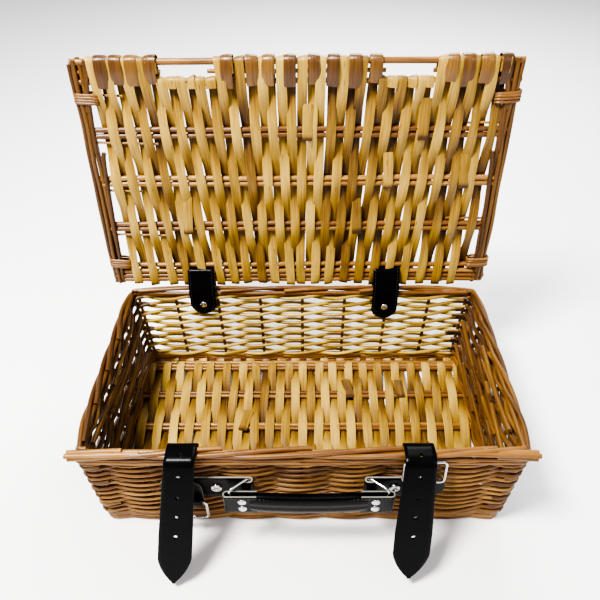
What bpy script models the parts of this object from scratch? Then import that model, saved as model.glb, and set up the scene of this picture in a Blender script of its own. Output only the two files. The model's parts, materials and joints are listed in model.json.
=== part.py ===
"""A willow picnic hamper, stood with its lid open against its leather hinges.

Metres, +Z up, front towards -Y. The origin is the middle of the floor's underside. The woven panels are
plain solids of the true outer size, with tunnels where their rods run. The lid is modelled closed, on an
empty that lies on the hinge line and is turned back to the open rest position.
"""

import math

import bmesh
import bpy
from mathutils import Matrix, Vector

# ---- the basket's driving sizes ----
BASKET_WIDTH = 0.400
BASKET_DEPTH = 0.227
BASKET_HEIGHT = 0.117
END_TAPER = 0.005
FRONT_TAPER = 0.003
WALL_THICKNESS = 0.008
RIM_WIDTH = 0.012
RIM_HEIGHT = 0.010
FLOOR_THICKNESS = 0.008
FLOOR_PAIR_PITCH = 0.046
FLOOR_PAIR_COUNT = 5
CORNER_STAKE_RADIUS = 0.0035

# ---- willow rods ----
ROD_RADIUS = 0.0022
PAIR_PITCH = 0.0042
FRONT_ROD_RADIUS = 0.0033

# ---- the lid, measured forward from the hinge line ----
LID_WIDTH = 0.412
LID_THICKNESS = 0.008
LID_SHIFT = -0.004
LID_OPEN_ANGLE = math.radians(96.5)
LID_SEAT_GAP = 0.003
LID_BACK_PAIR = 0.0095
LID_CROSS_PAIRS = (0.068, 0.119, 0.169)
LID_INNER_FRONT_ROD = 0.2172
LID_SLOT_START = 0.2215
LID_SLOT_DEPTH = 0.009
LID_SLOT_WIDTH = 0.043
SIDE_BUNDLE_WIDTH = 0.011

# ---- leather; each drop is measured down from the basket's top edge ----
STRAP_X = 0.103
STRAP_WIDTH = 0.030
STRAP_THICKNESS = 0.0022
STRAP_BEND_OVERHANG = 0.006
STRAP_TAIL_LENGTH = {"left": 0.124, "right": 0.118}
STRAP_TIP_LENGTH = 0.026
STRAP_LEAN = math.radians(25.5)
STRAP_SPLAY = {"left": math.radians(5.5), "right": math.radians(-3.0)}
STRAP_HOLE_RADIUS = 0.0018
STRAP_HOLE_COUNT = 4
STRAP_FIRST_HOLE = 0.016
STRAP_HOLE_PITCH = 0.0195
STRAP_ANCHOR_DROP = 0.067
LEATHER_THICKNESS = 0.002
HINGE_WIDTH = 0.029
HINGE_SHIFT = -0.0055
HINGE_INNER_DROP = {"left": 0.0315, "right": 0.039}
HINGE_OUTER_DROP = 0.034
HINGE_RIVET_DROP = {"left": 0.0175, "right": 0.022}
CHAPE_WIDTH = 0.030
CHAPE_END_X = 0.128
CHAPE_RETURN = 0.007
CHAPE_EYELET_X = {"left": -0.077, "right": 0.083}
TAB_WIDTH = 0.027
TAB_DROP = 0.0505
TAB_REACH = 0.017
TAB_RETURN = 0.006
TAB_PRONG_SLOT = 0.006

# ---- handle ----
HANDLE_DROP = 0.0490
HANDLE_SHIFT = 0.006
CHAPE_FOLD_X = 0.0525
RING_LENGTH = 0.021
RING_HEIGHT = 0.036
RING_WIRE_RADIUS = 0.0011
RING_CORNER_RADIUS = 0.003
RING_REST_ANGLE = math.radians(37.0)
HANDLE_PLAY = 0.0026
HANDLE_STRIP_WIDTH = 0.025
HANDLE_STRIP_THICKNESS = 0.0018
HANDLE_STRIP_ROOM = 0.0007
HANDLE_CORE_WIDTH = 0.018
HANDLE_CORE_THICKNESS = 0.004
GRIP_LENGTH = 0.104
GRIP_WIDTH = 0.023
GRIP_THICKNESS = 0.0105
HANDLE_RIVET_INSET = 0.0065
HANDLE_RIVET_PITCH = 0.0105

# ---- buckles and rivets ----
BUCKLE_WIDTH = 0.036
BUCKLE_LENGTH = 0.026
BUCKLE_WIRE_RADIUS = 0.0013
BUCKLE_CORNER_RADIUS = 0.004
BUCKLE_LEAN = {"left": 0.0, "right": math.radians(6.0)}
BUCKLE_TURN = {"left": math.pi, "right": 0.0}
PRONG_THICKNESS = 0.0018
PRONG_WIDTH = 0.0024
SHANK_RADIUS = 0.0014
RIVET_HEAD_RADIUS = 0.0040
EYELET_HEAD_RADIUS = 0.0050
RIVET_HEAD_HEIGHT = 0.0016

# ---- clearances ----
CLEAR = 0.0003
PANEL_GAP = 0.0005
TUNNEL_EASE = 0.1

# ---- derived places ----
HALF_WIDTH = BASKET_WIDTH / 2
HALF_DEPTH = BASKET_DEPTH / 2
RIM_INSIDE = HALF_DEPTH - RIM_WIDTH
RIM_BOTTOM = BASKET_HEIGHT - RIM_HEIGHT
HINGE_INNER_FOOT = {side: BASKET_HEIGHT - drop for side, drop in HINGE_INNER_DROP.items()}
HINGE_OUTER_FOOT = BASKET_HEIGHT - HINGE_OUTER_DROP
HINGE_RIVET_Z = {side: BASKET_HEIGHT - drop for side, drop in HINGE_RIVET_DROP.items()}
STRAP_ANCHOR_FOOT = BASKET_HEIGHT - STRAP_ANCHOR_DROP
TAB_PIVOT_Z = BASKET_HEIGHT - TAB_DROP
HANDLE_Z = BASKET_HEIGHT - HANDLE_DROP
HINGE_Y = HALF_DEPTH
HINGE_Z = BASKET_HEIGHT + LID_SEAT_GAP + LID_THICKNESS / 2
LID_WEAVE_DEPTH = LID_SLOT_START + LID_SLOT_DEPTH
LID_OUTER_ROD = LID_WEAVE_DEPTH + CLEAR * 2 + FRONT_ROD_RADIUS
CHAPE_BACK_Y = -(HALF_DEPTH - (RIM_WIDTH - WALL_THICKNESS) / 2 + PANEL_GAP)
CHAPE_FOLD_Y = CHAPE_BACK_Y - LEATHER_THICKNESS - RING_WIRE_RADIUS - CLEAR
HANDLE_FOLD_X = CHAPE_FOLD_X + RING_LENGTH * math.cos(RING_REST_ANGLE)
HANDLE_FOLD_Y = CHAPE_FOLD_Y - RING_LENGTH * math.sin(RING_REST_ANGLE)
TAB_BACK_Y = CHAPE_BACK_Y - LEATHER_THICKNESS - CLEAR
TAB_FOLD_Y = TAB_BACK_Y - LEATHER_THICKNESS - BUCKLE_WIRE_RADIUS - CLEAR
STRAP_OVER_Z = BASKET_HEIGHT + CLEAR + STRAP_THICKNESS / 2
STRAP_PIVOT_Y = -(HALF_DEPTH + STRAP_BEND_OVERHANG)
STRAP_INSIDE_Y = -(RIM_INSIDE - STRAP_THICKNESS / 2 - 4 * CLEAR)
SIDES = {"left": -1, "right": 1}
ALONG_X = (math.pi / 2, 0, math.pi / 2)


def clear_scene():
    """Empties the scene, keeping the file that this script runs from."""
    for obj in list(bpy.data.objects):
        bpy.data.objects.remove(obj)


def new_collection(name, hidden=False):
    """A collection in the scene; a hidden one holds the cutters."""
    made = bpy.data.collections.new(name)
    bpy.context.scene.collection.children.link(made)
    made.hide_render = hidden
    return made


def new_material(name, colour, roughness, metallic=0.0):
    """A Principled BSDF with one colour."""
    made = bpy.data.materials.new(name)
    made.use_nodes = True
    shader = made.node_tree.nodes["Principled BSDF"]
    shader.inputs["Base Color"].default_value = (*colour, 1)
    shader.inputs["Roughness"].default_value = roughness
    shader.inputs["Metallic"].default_value = metallic
    return made


clear_scene()
HAMPER = new_collection("willow_hamper")
CUTTERS = new_collection("cutters", hidden=True)
WEAVE = new_material("split_willow", (0.62, 0.42, 0.17), 0.55)
WILLOW = new_material("willow_rod", (0.48, 0.24, 0.08), 0.40)
LEATHER = new_material("black_leather", (0.012, 0.012, 0.013), 0.35)
STEEL = new_material("plated_steel", (0.75, 0.72, 0.66), 0.22, 1.0)


def put(obj, look, parent=None, location=(0, 0, 0), rotation=(0, 0, 0)):
    """Links a finished object to the hamper with its material and place."""
    HAMPER.objects.link(obj)
    if look:
        obj.data.materials.append(look)
    obj.parent = parent
    obj.location = location
    obj.rotation_euler = rotation
    return obj


def add_pivot(name, location, rotation=(0, 0, 0), parent=None):
    """An empty on a joint's axis, which the pieces that move with it are parented to."""
    return put(bpy.data.objects.new(name, None), None, parent, location, rotation)


def arc(centre, radius, start, end, steps):
    """Points on an arc from angle start to angle end, in radians."""
    turns = [start + (end - start) * i / steps for i in range(steps + 1)]
    return [(centre[0] + radius * math.cos(t), centre[1] + radius * math.sin(t)) for t in turns]


def rectangle(left, bottom, right, top):
    """The corners of an upright rectangle."""
    return [(left, bottom), (right, bottom), (right, top), (left, top)]


def ring_slot(sign, steps=6):
    """The slot in one end of the handle strip, round at both ends and a little tighter at the inner one."""
    radii = {sign: RING_WIRE_RADIUS + HANDLE_STRIP_ROOM, -sign: RING_WIRE_RADIUS + HANDLE_STRIP_ROOM * 0.9}
    centre = sign * HANDLE_FOLD_X
    right = arc((centre + HANDLE_PLAY, 0), radii[1], -math.pi / 2, math.pi / 2, steps)
    left = arc((centre - HANDLE_PLAY, 0), radii[-1], math.pi / 2, math.pi * 1.5, steps)
    return right + left


def rod_pair_outline(centre, radius, steps=7):
    """The section of two rods that lie side by side, touching, along the first axis."""
    waist = math.acos(PAIR_PITCH / 2 / radius)
    first = (centre[0] + PAIR_PITCH / 2, centre[1])
    second = (centre[0] - PAIR_PITCH / 2, centre[1])
    front = arc(first, radius, -math.pi + waist, math.pi - waist, steps)
    back = arc(second, radius, waist, 2 * math.pi - waist, steps)
    return front[:-1] + back[:-1]


def ribbon(path, thickness):
    """The outline of a strip of the given thickness along a centre line, with mitred bends."""
    points = [Vector(p) for p in path]
    left, right = [], []
    for i, point in enumerate(points):
        before = (point - points[i - 1]).normalized() if i else None
        after = (points[i + 1] - point).normalized() if i + 1 < len(points) else None
        along = ((before or after) + (after or before)).normalized()
        side = Vector((-along.y, along.x))
        reach = thickness / 2 / max(0.3, along.dot(after or before))
        left.append(tuple(point + side * reach))
        right.append(tuple(point - side * reach))
    return left + right[::-1]


def flat_outline(name, outline, half_depth, holes=()):
    """An outline in the local XY plane, with holes, extruded half_depth each way along local Z."""
    curve = bpy.data.curves.new(name, "CURVE")
    curve.dimensions = "2D"
    curve.fill_mode = "BOTH"
    curve.extrude = half_depth
    for ring in (outline, *holes):
        spline = curve.splines.new("POLY")
        spline.points.add(len(ring) - 1)
        for point, place in zip(spline.points, ring):
            point.co = (*place, 0, 1)
        spline.use_cyclic_u = True
    return bpy.data.objects.new(name, curve)


def tube(name, path, radius, closed=False):
    """A wire or rod of round section through the given points."""
    curve = bpy.data.curves.new(name, "CURVE")
    curve.dimensions = "3D"
    curve.bevel_depth = radius
    curve.bevel_resolution = 2
    curve.use_fill_caps = True
    spline = curve.splines.new("POLY")
    spline.points.add(len(path) - 1)
    for point, place in zip(spline.points, path):
        point.co = (*place, 1)
    spline.use_cyclic_u = closed
    return bpy.data.objects.new(name, curve)


def as_mesh(obj):
    """The same shape as a mesh object in the same place, with its caps welded, so that it can be cut."""
    bpy.context.view_layer.update()
    graph = bpy.context.evaluated_depsgraph_get()
    mesh = bpy.data.meshes.new_from_object(obj.evaluated_get(graph))
    shape = bmesh.new()
    shape.from_mesh(mesh)
    bmesh.ops.remove_doubles(shape, verts=shape.verts, dist=1e-6)
    bmesh.ops.dissolve_degenerate(shape, dist=1e-6, edges=shape.edges)
    bmesh.ops.recalc_face_normals(shape, faces=shape.faces)
    shape.to_mesh(mesh)
    shape.free()
    name, parent = obj.name, obj.parent
    location, rotation = obj.location.copy(), obj.rotation_euler.copy()
    bpy.data.objects.remove(obj)
    made = bpy.data.objects.new(name, mesh)
    HAMPER.objects.link(made)
    made.parent = parent
    made.location = location
    made.rotation_euler = rotation
    return made


def cut(obj, cutter, operation="DIFFERENCE"):
    """Takes the cutter's shape out of the object, or keeps only what lies inside it."""
    for owner in list(cutter.users_collection):
        owner.objects.unlink(cutter)
    CUTTERS.objects.link(cutter)
    cutter.hide_render = True
    cutter.display_type = "WIRE"
    modifier = obj.modifiers.new(cutter.name, "BOOLEAN")
    modifier.operation = operation
    modifier.object = cutter


def trim(obj, outline, parent=None, location=(0, 0, 0)):
    """Keeps only what lies inside an upright outline, seen from the front."""
    stencil = flat_outline(obj.name + "_trim", outline, 2 * RIM_WIDTH)
    put(stencil, None, parent, location, (math.pi / 2, 0, 0))
    cut(obj, as_mesh(stencil), "INTERSECT")


def cut_box(obj, low, high, parent=None):
    """Cuts a box between two corners out of the object."""
    shape = bmesh.new()
    size = Vector(high) - Vector(low)
    bmesh.ops.create_cube(shape, size=1, matrix=Matrix.Diagonal((*size, 1)))
    mesh = bpy.data.meshes.new(obj.name + "_cut")
    shape.to_mesh(mesh)
    shape.free()
    cutter = bpy.data.objects.new(mesh.name, mesh)
    cutter.parent = parent
    cutter.location = (Vector(low) + Vector(high)) / 2
    cut(obj, cutter)


def drill(obj, place, length, radius=SHANK_RADIUS + CLEAR, parent=None):
    """Cuts a round hole along Y through the object, centred on a place."""
    shape = bmesh.new()
    bmesh.ops.create_cone(
        shape, cap_ends=True, segments=12, radius1=radius, radius2=radius, depth=length
    )
    mesh = bpy.data.meshes.new(obj.name + "_hole")
    shape.to_mesh(mesh)
    shape.free()
    cutter = bpy.data.objects.new(mesh.name, mesh)
    cutter.parent = parent
    cutter.location = place
    cutter.rotation_euler = (math.pi / 2, 0, 0)
    cut(obj, cutter)


def add_bar(name, low, high, look, parent=None, bevel=0.0):
    """A straight bar between two corners, its long edges eased by a bevel."""
    shape = bmesh.new()
    size = Vector(high) - Vector(low)
    bmesh.ops.create_cube(shape, size=1, matrix=Matrix.Diagonal((*size, 1)))
    mesh = bpy.data.meshes.new(name)
    shape.to_mesh(mesh)
    shape.free()
    made = put(bpy.data.objects.new(name, mesh), look, parent, (Vector(low) + Vector(high)) / 2)
    if bevel:
        eased = made.modifiers.new("eased_edges", "BEVEL")
        eased.width = bevel
        eased.segments = 2
    return made


def add_rivet(name, head_y, tail_y, x, z, head_radius=RIVET_HEAD_RADIUS, parent=None):
    """A domed rivet along Y: its head's inner face at head_y and its clenched end's at tail_y."""
    grip = abs(tail_y - head_y)
    crown = head_radius * 0.55
    profile = [
        (0, RIVET_HEAD_HEIGHT),
        (crown, RIVET_HEAD_HEIGHT * 0.8),
        (head_radius, RIVET_HEAD_HEIGHT * 0.2),
        (head_radius, 0),
        (SHANK_RADIUS, 0),
        (SHANK_RADIUS, -grip),
        (head_radius * 0.8, -grip),
        (head_radius * 0.8, -grip - RIVET_HEAD_HEIGHT * 0.4),
        (0, -grip - RIVET_HEAD_HEIGHT * 0.7),
    ]
    mesh = bpy.data.meshes.new(name)
    points = [(radius, 0, height) for radius, height in profile]
    mesh.from_pydata(points, [(i, i + 1) for i in range(len(points) - 1)], [])
    facing = math.pi / 2 if head_y < tail_y else -math.pi / 2
    made = put(bpy.data.objects.new(name, mesh), STEEL, parent, (x, head_y, z), (facing, 0, 0))
    turned = made.modifiers.new("turned", "SCREW")
    turned.steps = 12
    turned.render_steps = 12
    turned.use_merge_vertices = True
    turned.merge_threshold = 0.00001
    return made


def floor_pair_ys():
    """The Y of each pair of rods across the floor."""
    middle = (FLOOR_PAIR_COUNT - 1) / 2
    return [(i - middle) * FLOOR_PAIR_PITCH for i in range(FLOOR_PAIR_COUNT)]


def foot_inside(half_rim, taper):
    """How far the inner face of a wall's foot lies from the middle."""
    overhang = (RIM_WIDTH - WALL_THICKNESS) / 2
    return half_rim - overhang - WALL_THICKNESS - taper


def build_floor():
    """The woven floor, with a tunnel for each pair of rods, and the rod pairs."""
    half_width = foot_inside(HALF_WIDTH, END_TAPER) - PANEL_GAP
    half_depth = foot_inside(HALF_DEPTH, FRONT_TAPER) - PANEL_GAP
    middle = FLOOR_THICKNESS / 2
    centres = [(y, middle) for y in floor_pair_ys()]
    tunnels = [rod_pair_outline(centre, ROD_RADIUS + CLEAR) for centre in centres]
    section = rectangle(-half_depth, 0, half_depth, FLOOR_THICKNESS)
    put(flat_outline("floor_weave", section, half_width, tunnels), WEAVE, rotation=ALONG_X)
    for i, centre in enumerate(centres):
        rods = flat_outline(f"floor_rod_pair_{i + 1}", rod_pair_outline(centre, ROD_RADIUS), half_width)
        put(rods, WILLOW, rotation=ALONG_X)


def add_wall(name, along, half_top, half_foot, reach_top, reach_foot):
    """A sloping woven wall. along is its long direction, and reach is its middle's distance out."""
    along = Vector(along)
    out = Vector((along.y, -along.x, 0))
    top = Vector((0, 0, RIM_BOTTOM - PANEL_GAP))
    foot = Vector((0, 0, PANEL_GAP))
    corners = [
        foot + out * reach_foot - along * half_foot,
        foot + out * reach_foot + along * half_foot,
        top + out * reach_top + along * half_top,
        top + out * reach_top - along * half_top,
    ]
    mesh = bpy.data.meshes.new(name)
    mesh.from_pydata(corners, [], [(0, 1, 2, 3)])
    made = put(bpy.data.objects.new(name, mesh), WEAVE)
    shell = made.modifiers.new("weave_thickness", "SOLIDIFY")
    shell.thickness = WALL_THICKNESS
    shell.offset = 0
    return made


def build_walls():
    """The four walls, the corner stakes that they meet at, and the rim of rods on top."""
    middle_in = RIM_WIDTH / 2
    top_x, top_y = HALF_WIDTH - middle_in, HALF_DEPTH - middle_in
    foot_x, foot_y = top_x - END_TAPER, top_y - FRONT_TAPER
    shy = CORNER_STAKE_RADIUS + WALL_THICKNESS / 2
    walls = {}
    for name, sign in (("wall_front", 1), ("wall_back", -1)):
        walls[name] = add_wall(name, (sign, 0, 0), top_x - shy, foot_x - shy, top_y, foot_y)
    for name, sign in (("wall_left", -1), ("wall_right", 1)):
        walls[name] = add_wall(name, (0, sign, 0), top_y - shy, foot_y - shy, top_x, foot_x)
    for x_name, x_sign in SIDES.items():
        for y_name, y_sign in (("front", -1), ("back", 1)):
            foot = (x_sign * foot_x, y_sign * foot_y, PANEL_GAP)
            top = (x_sign * top_x, y_sign * top_y, RIM_BOTTOM - PANEL_GAP)
            put(tube(f"corner_stake_{y_name}_{x_name}", [foot, top], CORNER_STAKE_RADIUS), WILLOW)
    return walls


def build_rim():
    """The border of laid rods along the top of each wall."""
    ease = RIM_WIDTH / 4
    for name, sign in (("rim_front", -1), ("rim_back", 1)):
        ys = sorted((sign * HALF_DEPTH, sign * RIM_INSIDE))
        low, high = (-HALF_WIDTH, ys[0], RIM_BOTTOM), (HALF_WIDTH, ys[1], BASKET_HEIGHT)
        add_bar(name, low, high, WILLOW, bevel=ease)
    for name, sign in (("rim_left", -1), ("rim_right", 1)):
        xs = sorted((sign * HALF_WIDTH, sign * (HALF_WIDTH - RIM_WIDTH)))
        half = RIM_INSIDE - PANEL_GAP
        add_bar(name, (xs[0], -half, RIM_BOTTOM), (xs[1], half, BASKET_HEIGHT), WILLOW, bevel=ease)


def build_lid():
    """The lid about its hinge line: woven panel, rods, side bundles and the slots for the straps."""
    pivot = add_pivot("lid_pivot", (LID_SHIFT, HINGE_Y, HINGE_Z), (-LID_OPEN_ANGLE, 0, 0))
    half = LID_WIDTH / 2 - SIDE_BUNDLE_WIDTH - PANEL_GAP
    thick = LID_THICKNESS / 2
    pairs = {"lid_back_rod_pair": LID_BACK_PAIR}
    pairs.update({f"lid_cross_rod_pair_{i + 1}": d for i, d in enumerate(LID_CROSS_PAIRS)})
    spare = [CLEAR * (1 + TUNNEL_EASE * i) for i in range(len(pairs))]
    tunnels = [rod_pair_outline((-d, 0), ROD_RADIUS + s) for d, s in zip(pairs.values(), spare)]
    tunnels.append(arc((-LID_INNER_FRONT_ROD, 0), FRONT_ROD_RADIUS + CLEAR, 0, 2 * math.pi, 12)[:-1])
    section = rectangle(-LID_WEAVE_DEPTH, -thick, 0, thick)
    weave = put(flat_outline("lid_weave", section, half, tunnels), WEAVE, pivot, rotation=ALONG_X)
    weave = as_mesh(weave)
    for sign in SIDES.values():
        x = sign * STRAP_X
        reach = LID_SLOT_WIDTH / 2
        low = (x - reach, -LID_WEAVE_DEPTH - thick, -LID_THICKNESS)
        cut_box(weave, low, (x + reach, -LID_SLOT_START, LID_THICKNESS), pivot)
        x += HINGE_SHIFT
        reach = HINGE_WIDTH / 2 + CLEAR
        near, far = hinge_slot()
        low = (x - reach, -far, -LID_THICKNESS)
        cut_box(weave, low, (x + reach, -near, LID_THICKNESS), pivot)
    for name, d in pairs.items():
        rods = flat_outline(name, rod_pair_outline((-d, 0), ROD_RADIUS), half)
        put(rods, WILLOW, pivot, rotation=ALONG_X)
    inner = [(-half, -LID_INNER_FRONT_ROD, 0), (half, -LID_INNER_FRONT_ROD, 0)]
    put(tube("lid_front_rod_inner", inner, FRONT_ROD_RADIUS), WILLOW, pivot)
    reach = LID_WIDTH / 2
    outer = [(-reach, -LID_OUTER_ROD, 0), (reach, -LID_OUTER_ROD, 0)]
    put(tube("lid_front_rod_outer", outer, FRONT_ROD_RADIUS), WILLOW, pivot)
    for side, sign in SIDES.items():
        xs = sorted((sign * reach, sign * (reach - SIDE_BUNDLE_WIDTH)))
        low = (xs[0], -LID_WEAVE_DEPTH, -thick)
        add_bar(f"lid_side_bundle_{side}", low, (xs[1], 0, thick), WILLOW, pivot, SIDE_BUNDLE_WIDTH / 5)
    return pivot


def hinge_slot():
    """Where the hinge leather passes through the lid, past its back pair of rods."""
    near = LID_BACK_PAIR + PAIR_PITCH / 2 + ROD_RADIUS + 4 * CLEAR
    return near, near + LEATHER_THICKNESS + 2 * CLEAR


def build_hinges(lid_pivot, wall_back):
    """Two leather hinges: a leaf on each face of the back wall, a rivet, and the loop in the lid."""
    inside = RIM_INSIDE - CLEAR - LEATHER_THICKNESS / 2
    outside = HALF_DEPTH + CLEAR + LEATHER_THICKNESS / 2
    top = BASKET_HEIGHT - 2 * CLEAR
    radius = HINGE_WIDTH / 2
    for side, sign in SIDES.items():
        lid_x = sign * STRAP_X + HINGE_SHIFT
        x, rivet_z = lid_x + LID_SHIFT, HINGE_RIVET_Z[side]
        facing = (math.pi / 2, 0, 0)
        round_end = arc((0, HINGE_INNER_FOOT[side] + radius), radius, math.pi, 2 * math.pi, 10)
        leaf = flat_outline(
            f"hinge_inner_leaf_{side}",
            round_end + [(radius, top), (-radius, top)],
            LEATHER_THICKNESS / 2,
            [arc((0, rivet_z), SHANK_RADIUS + CLEAR, 0, 2 * math.pi, 12)[:-1]],
        )
        put(leaf, LEATHER, location=(x, inside, 0), rotation=facing)
        leaf = flat_outline(
            f"hinge_outer_leaf_{side}",
            rectangle(-radius, HINGE_OUTER_FOOT, radius, top),
            LEATHER_THICKNESS / 2,
            [arc((0, rivet_z), SHANK_RADIUS + CLEAR, 0, 2 * math.pi, 12)[:-1]],
        )
        put(leaf, LEATHER, location=(x, outside, 0), rotation=facing)
        drill(wall_back, (x, HALF_DEPTH - RIM_WIDTH / 2, rivet_z), 4 * WALL_THICKNESS)
        face = LEATHER_THICKNESS / 2 + CLEAR
        add_rivet(f"hinge_rivet_{side}", inside - face, outside + face, x, rivet_z)
        near, far = hinge_slot()
        across = (near + far) / 2
        skin = LID_THICKNESS / 2 + CLEAR + LEATHER_THICKNESS / 2
        path = [(-2 * CLEAR, -skin), (-across, -skin), (-across, skin), (-2 * CLEAR, skin)]
        loop = flat_outline(f"hinge_loop_{side}", ribbon(path, LEATHER_THICKNESS), radius)
        put(loop, LEATHER, lid_pivot, (lid_x, 0, 0), ALONG_X)


def strap_tail_outline(splay, length):
    """The hanging end of a strap, running down from its bend to a round-nosed point."""
    half = STRAP_WIDTH / 2
    top = -half * math.sin(abs(splay))
    shoulder = length - STRAP_TIP_LENGTH
    bow = (half**2 + STRAP_TIP_LENGTH**2) / (2 * half)
    sweep = math.asin(STRAP_TIP_LENGTH / bow)
    right = arc((half - bow, -shoulder), bow, 0, -sweep * 0.93, 6)
    left = [(-x, y) for x, y in reversed(right)]
    return [(-half, top), (half, top), *right, *left]


def build_straps(wall_front):
    """Two fastening straps, each riveted inside the front wall, laid over the rim and hanging outside."""
    shank = SHANK_RADIUS + CLEAR
    for side, sign in SIDES.items():
        x = sign * STRAP_X
        bend = STRAP_THICKNESS
        corner = (STRAP_INSIDE_Y - bend, STRAP_OVER_Z - bend)
        path = [(STRAP_INSIDE_Y, STRAP_ANCHOR_FOOT)]
        path += arc(corner, bend, 0, math.pi / 2, 4)
        path += [(STRAP_PIVOT_Y + STRAP_THICKNESS / 2 + CLEAR, STRAP_OVER_Z)]
        anchor = flat_outline(
            f"strap_anchor_{side}", ribbon(path, STRAP_THICKNESS), STRAP_WIDTH / 2
        )
        anchor = as_mesh(put(anchor, LEATHER, location=(x, 0, 0), rotation=ALONG_X))
        drill(anchor, (x, STRAP_INSIDE_Y, TAB_PIVOT_Z), 4 * STRAP_THICKNESS)
        splay = STRAP_SPLAY[side]
        hang = (math.pi / 2 - STRAP_LEAN, 0, 0)
        pivot = add_pivot(f"strap_pivot_{side}", (x, STRAP_PIVOT_Y, STRAP_OVER_Z), hang)
        ys = [-(STRAP_FIRST_HOLE + i * STRAP_HOLE_PITCH) for i in range(STRAP_HOLE_COUNT)]
        holes = [arc((0, y), STRAP_HOLE_RADIUS, 0, 2 * math.pi, 10)[:-1] for y in ys]
        outline = strap_tail_outline(splay, STRAP_TAIL_LENGTH[side])
        tail = flat_outline(f"strap_tail_{side}", outline, STRAP_THICKNESS / 2, holes)
        put(tail, LEATHER, pivot, rotation=(0, 0, sign * splay))
        drill(wall_front, (x, -HALF_DEPTH + RIM_WIDTH / 2, TAB_PIVOT_Z), 4 * WALL_THICKNESS, shank)
        inside = STRAP_INSIDE_Y + STRAP_THICKNESS / 2 + CLEAR
        outside = TAB_BACK_Y - LEATHER_THICKNESS - CLEAR
        add_rivet(f"strap_rivet_{side}", outside, inside, x, TAB_PIVOT_Z)


def build_chapes(wall_front):
    """The leather bands along the front that hold the handle's rings, with their eyelets."""
    centre_y = CHAPE_BACK_Y - LEATHER_THICKNESS / 2
    wrap = RING_WIRE_RADIUS + CLEAR + LEATHER_THICKNESS / 2
    shank = SHANK_RADIUS + CLEAR
    for side, sign in SIDES.items():
        path = [(sign * CHAPE_END_X, centre_y)]
        fold_x = HANDLE_SHIFT + sign * CHAPE_FOLD_X
        turn = math.pi * 1.5 if sign > 0 else -math.pi / 2
        path += arc((fold_x, CHAPE_FOLD_Y), wrap, math.pi / 2, turn, 8)
        path += [(fold_x + sign * CHAPE_RETURN, CHAPE_FOLD_Y - wrap)]
        chape = flat_outline(f"handle_chape_{side}", ribbon(path, LEATHER_THICKNESS), CHAPE_WIDTH / 2)
        chape = as_mesh(put(chape, LEATHER, location=(0, 0, HANDLE_Z)))
        x = CHAPE_EYELET_X[side]
        for place in ((x, centre_y, HANDLE_Z), (sign * STRAP_X, centre_y, TAB_PIVOT_Z)):
            drill(chape, place, 3 * LEATHER_THICKNESS, shank)
        drill(wall_front, (x, -HALF_DEPTH + RIM_WIDTH / 2, HANDLE_Z), 4 * WALL_THICKNESS, shank)
        outside = CHAPE_BACK_Y - LEATHER_THICKNESS - CLEAR
        inside = -(RIM_INSIDE - CLEAR)
        add_rivet(f"chape_eyelet_{side}", outside, inside, x, HANDLE_Z, EYELET_HEAD_RADIUS)


def rounded_loop(length, height, corner, steps=3):
    """A rectangle with round corners from one bar at zero to the other at length."""
    half = height / 2
    return [
        *arc((length - corner, half - corner), corner, 0, math.pi / 2, steps),
        *arc((corner, half - corner), corner, math.pi / 2, math.pi, steps),
        *arc((corner, corner - half), corner, math.pi, math.pi * 1.5, steps),
        *arc((length - corner, corner - half), corner, math.pi * 1.5, math.pi * 2, steps),
    ]


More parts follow.
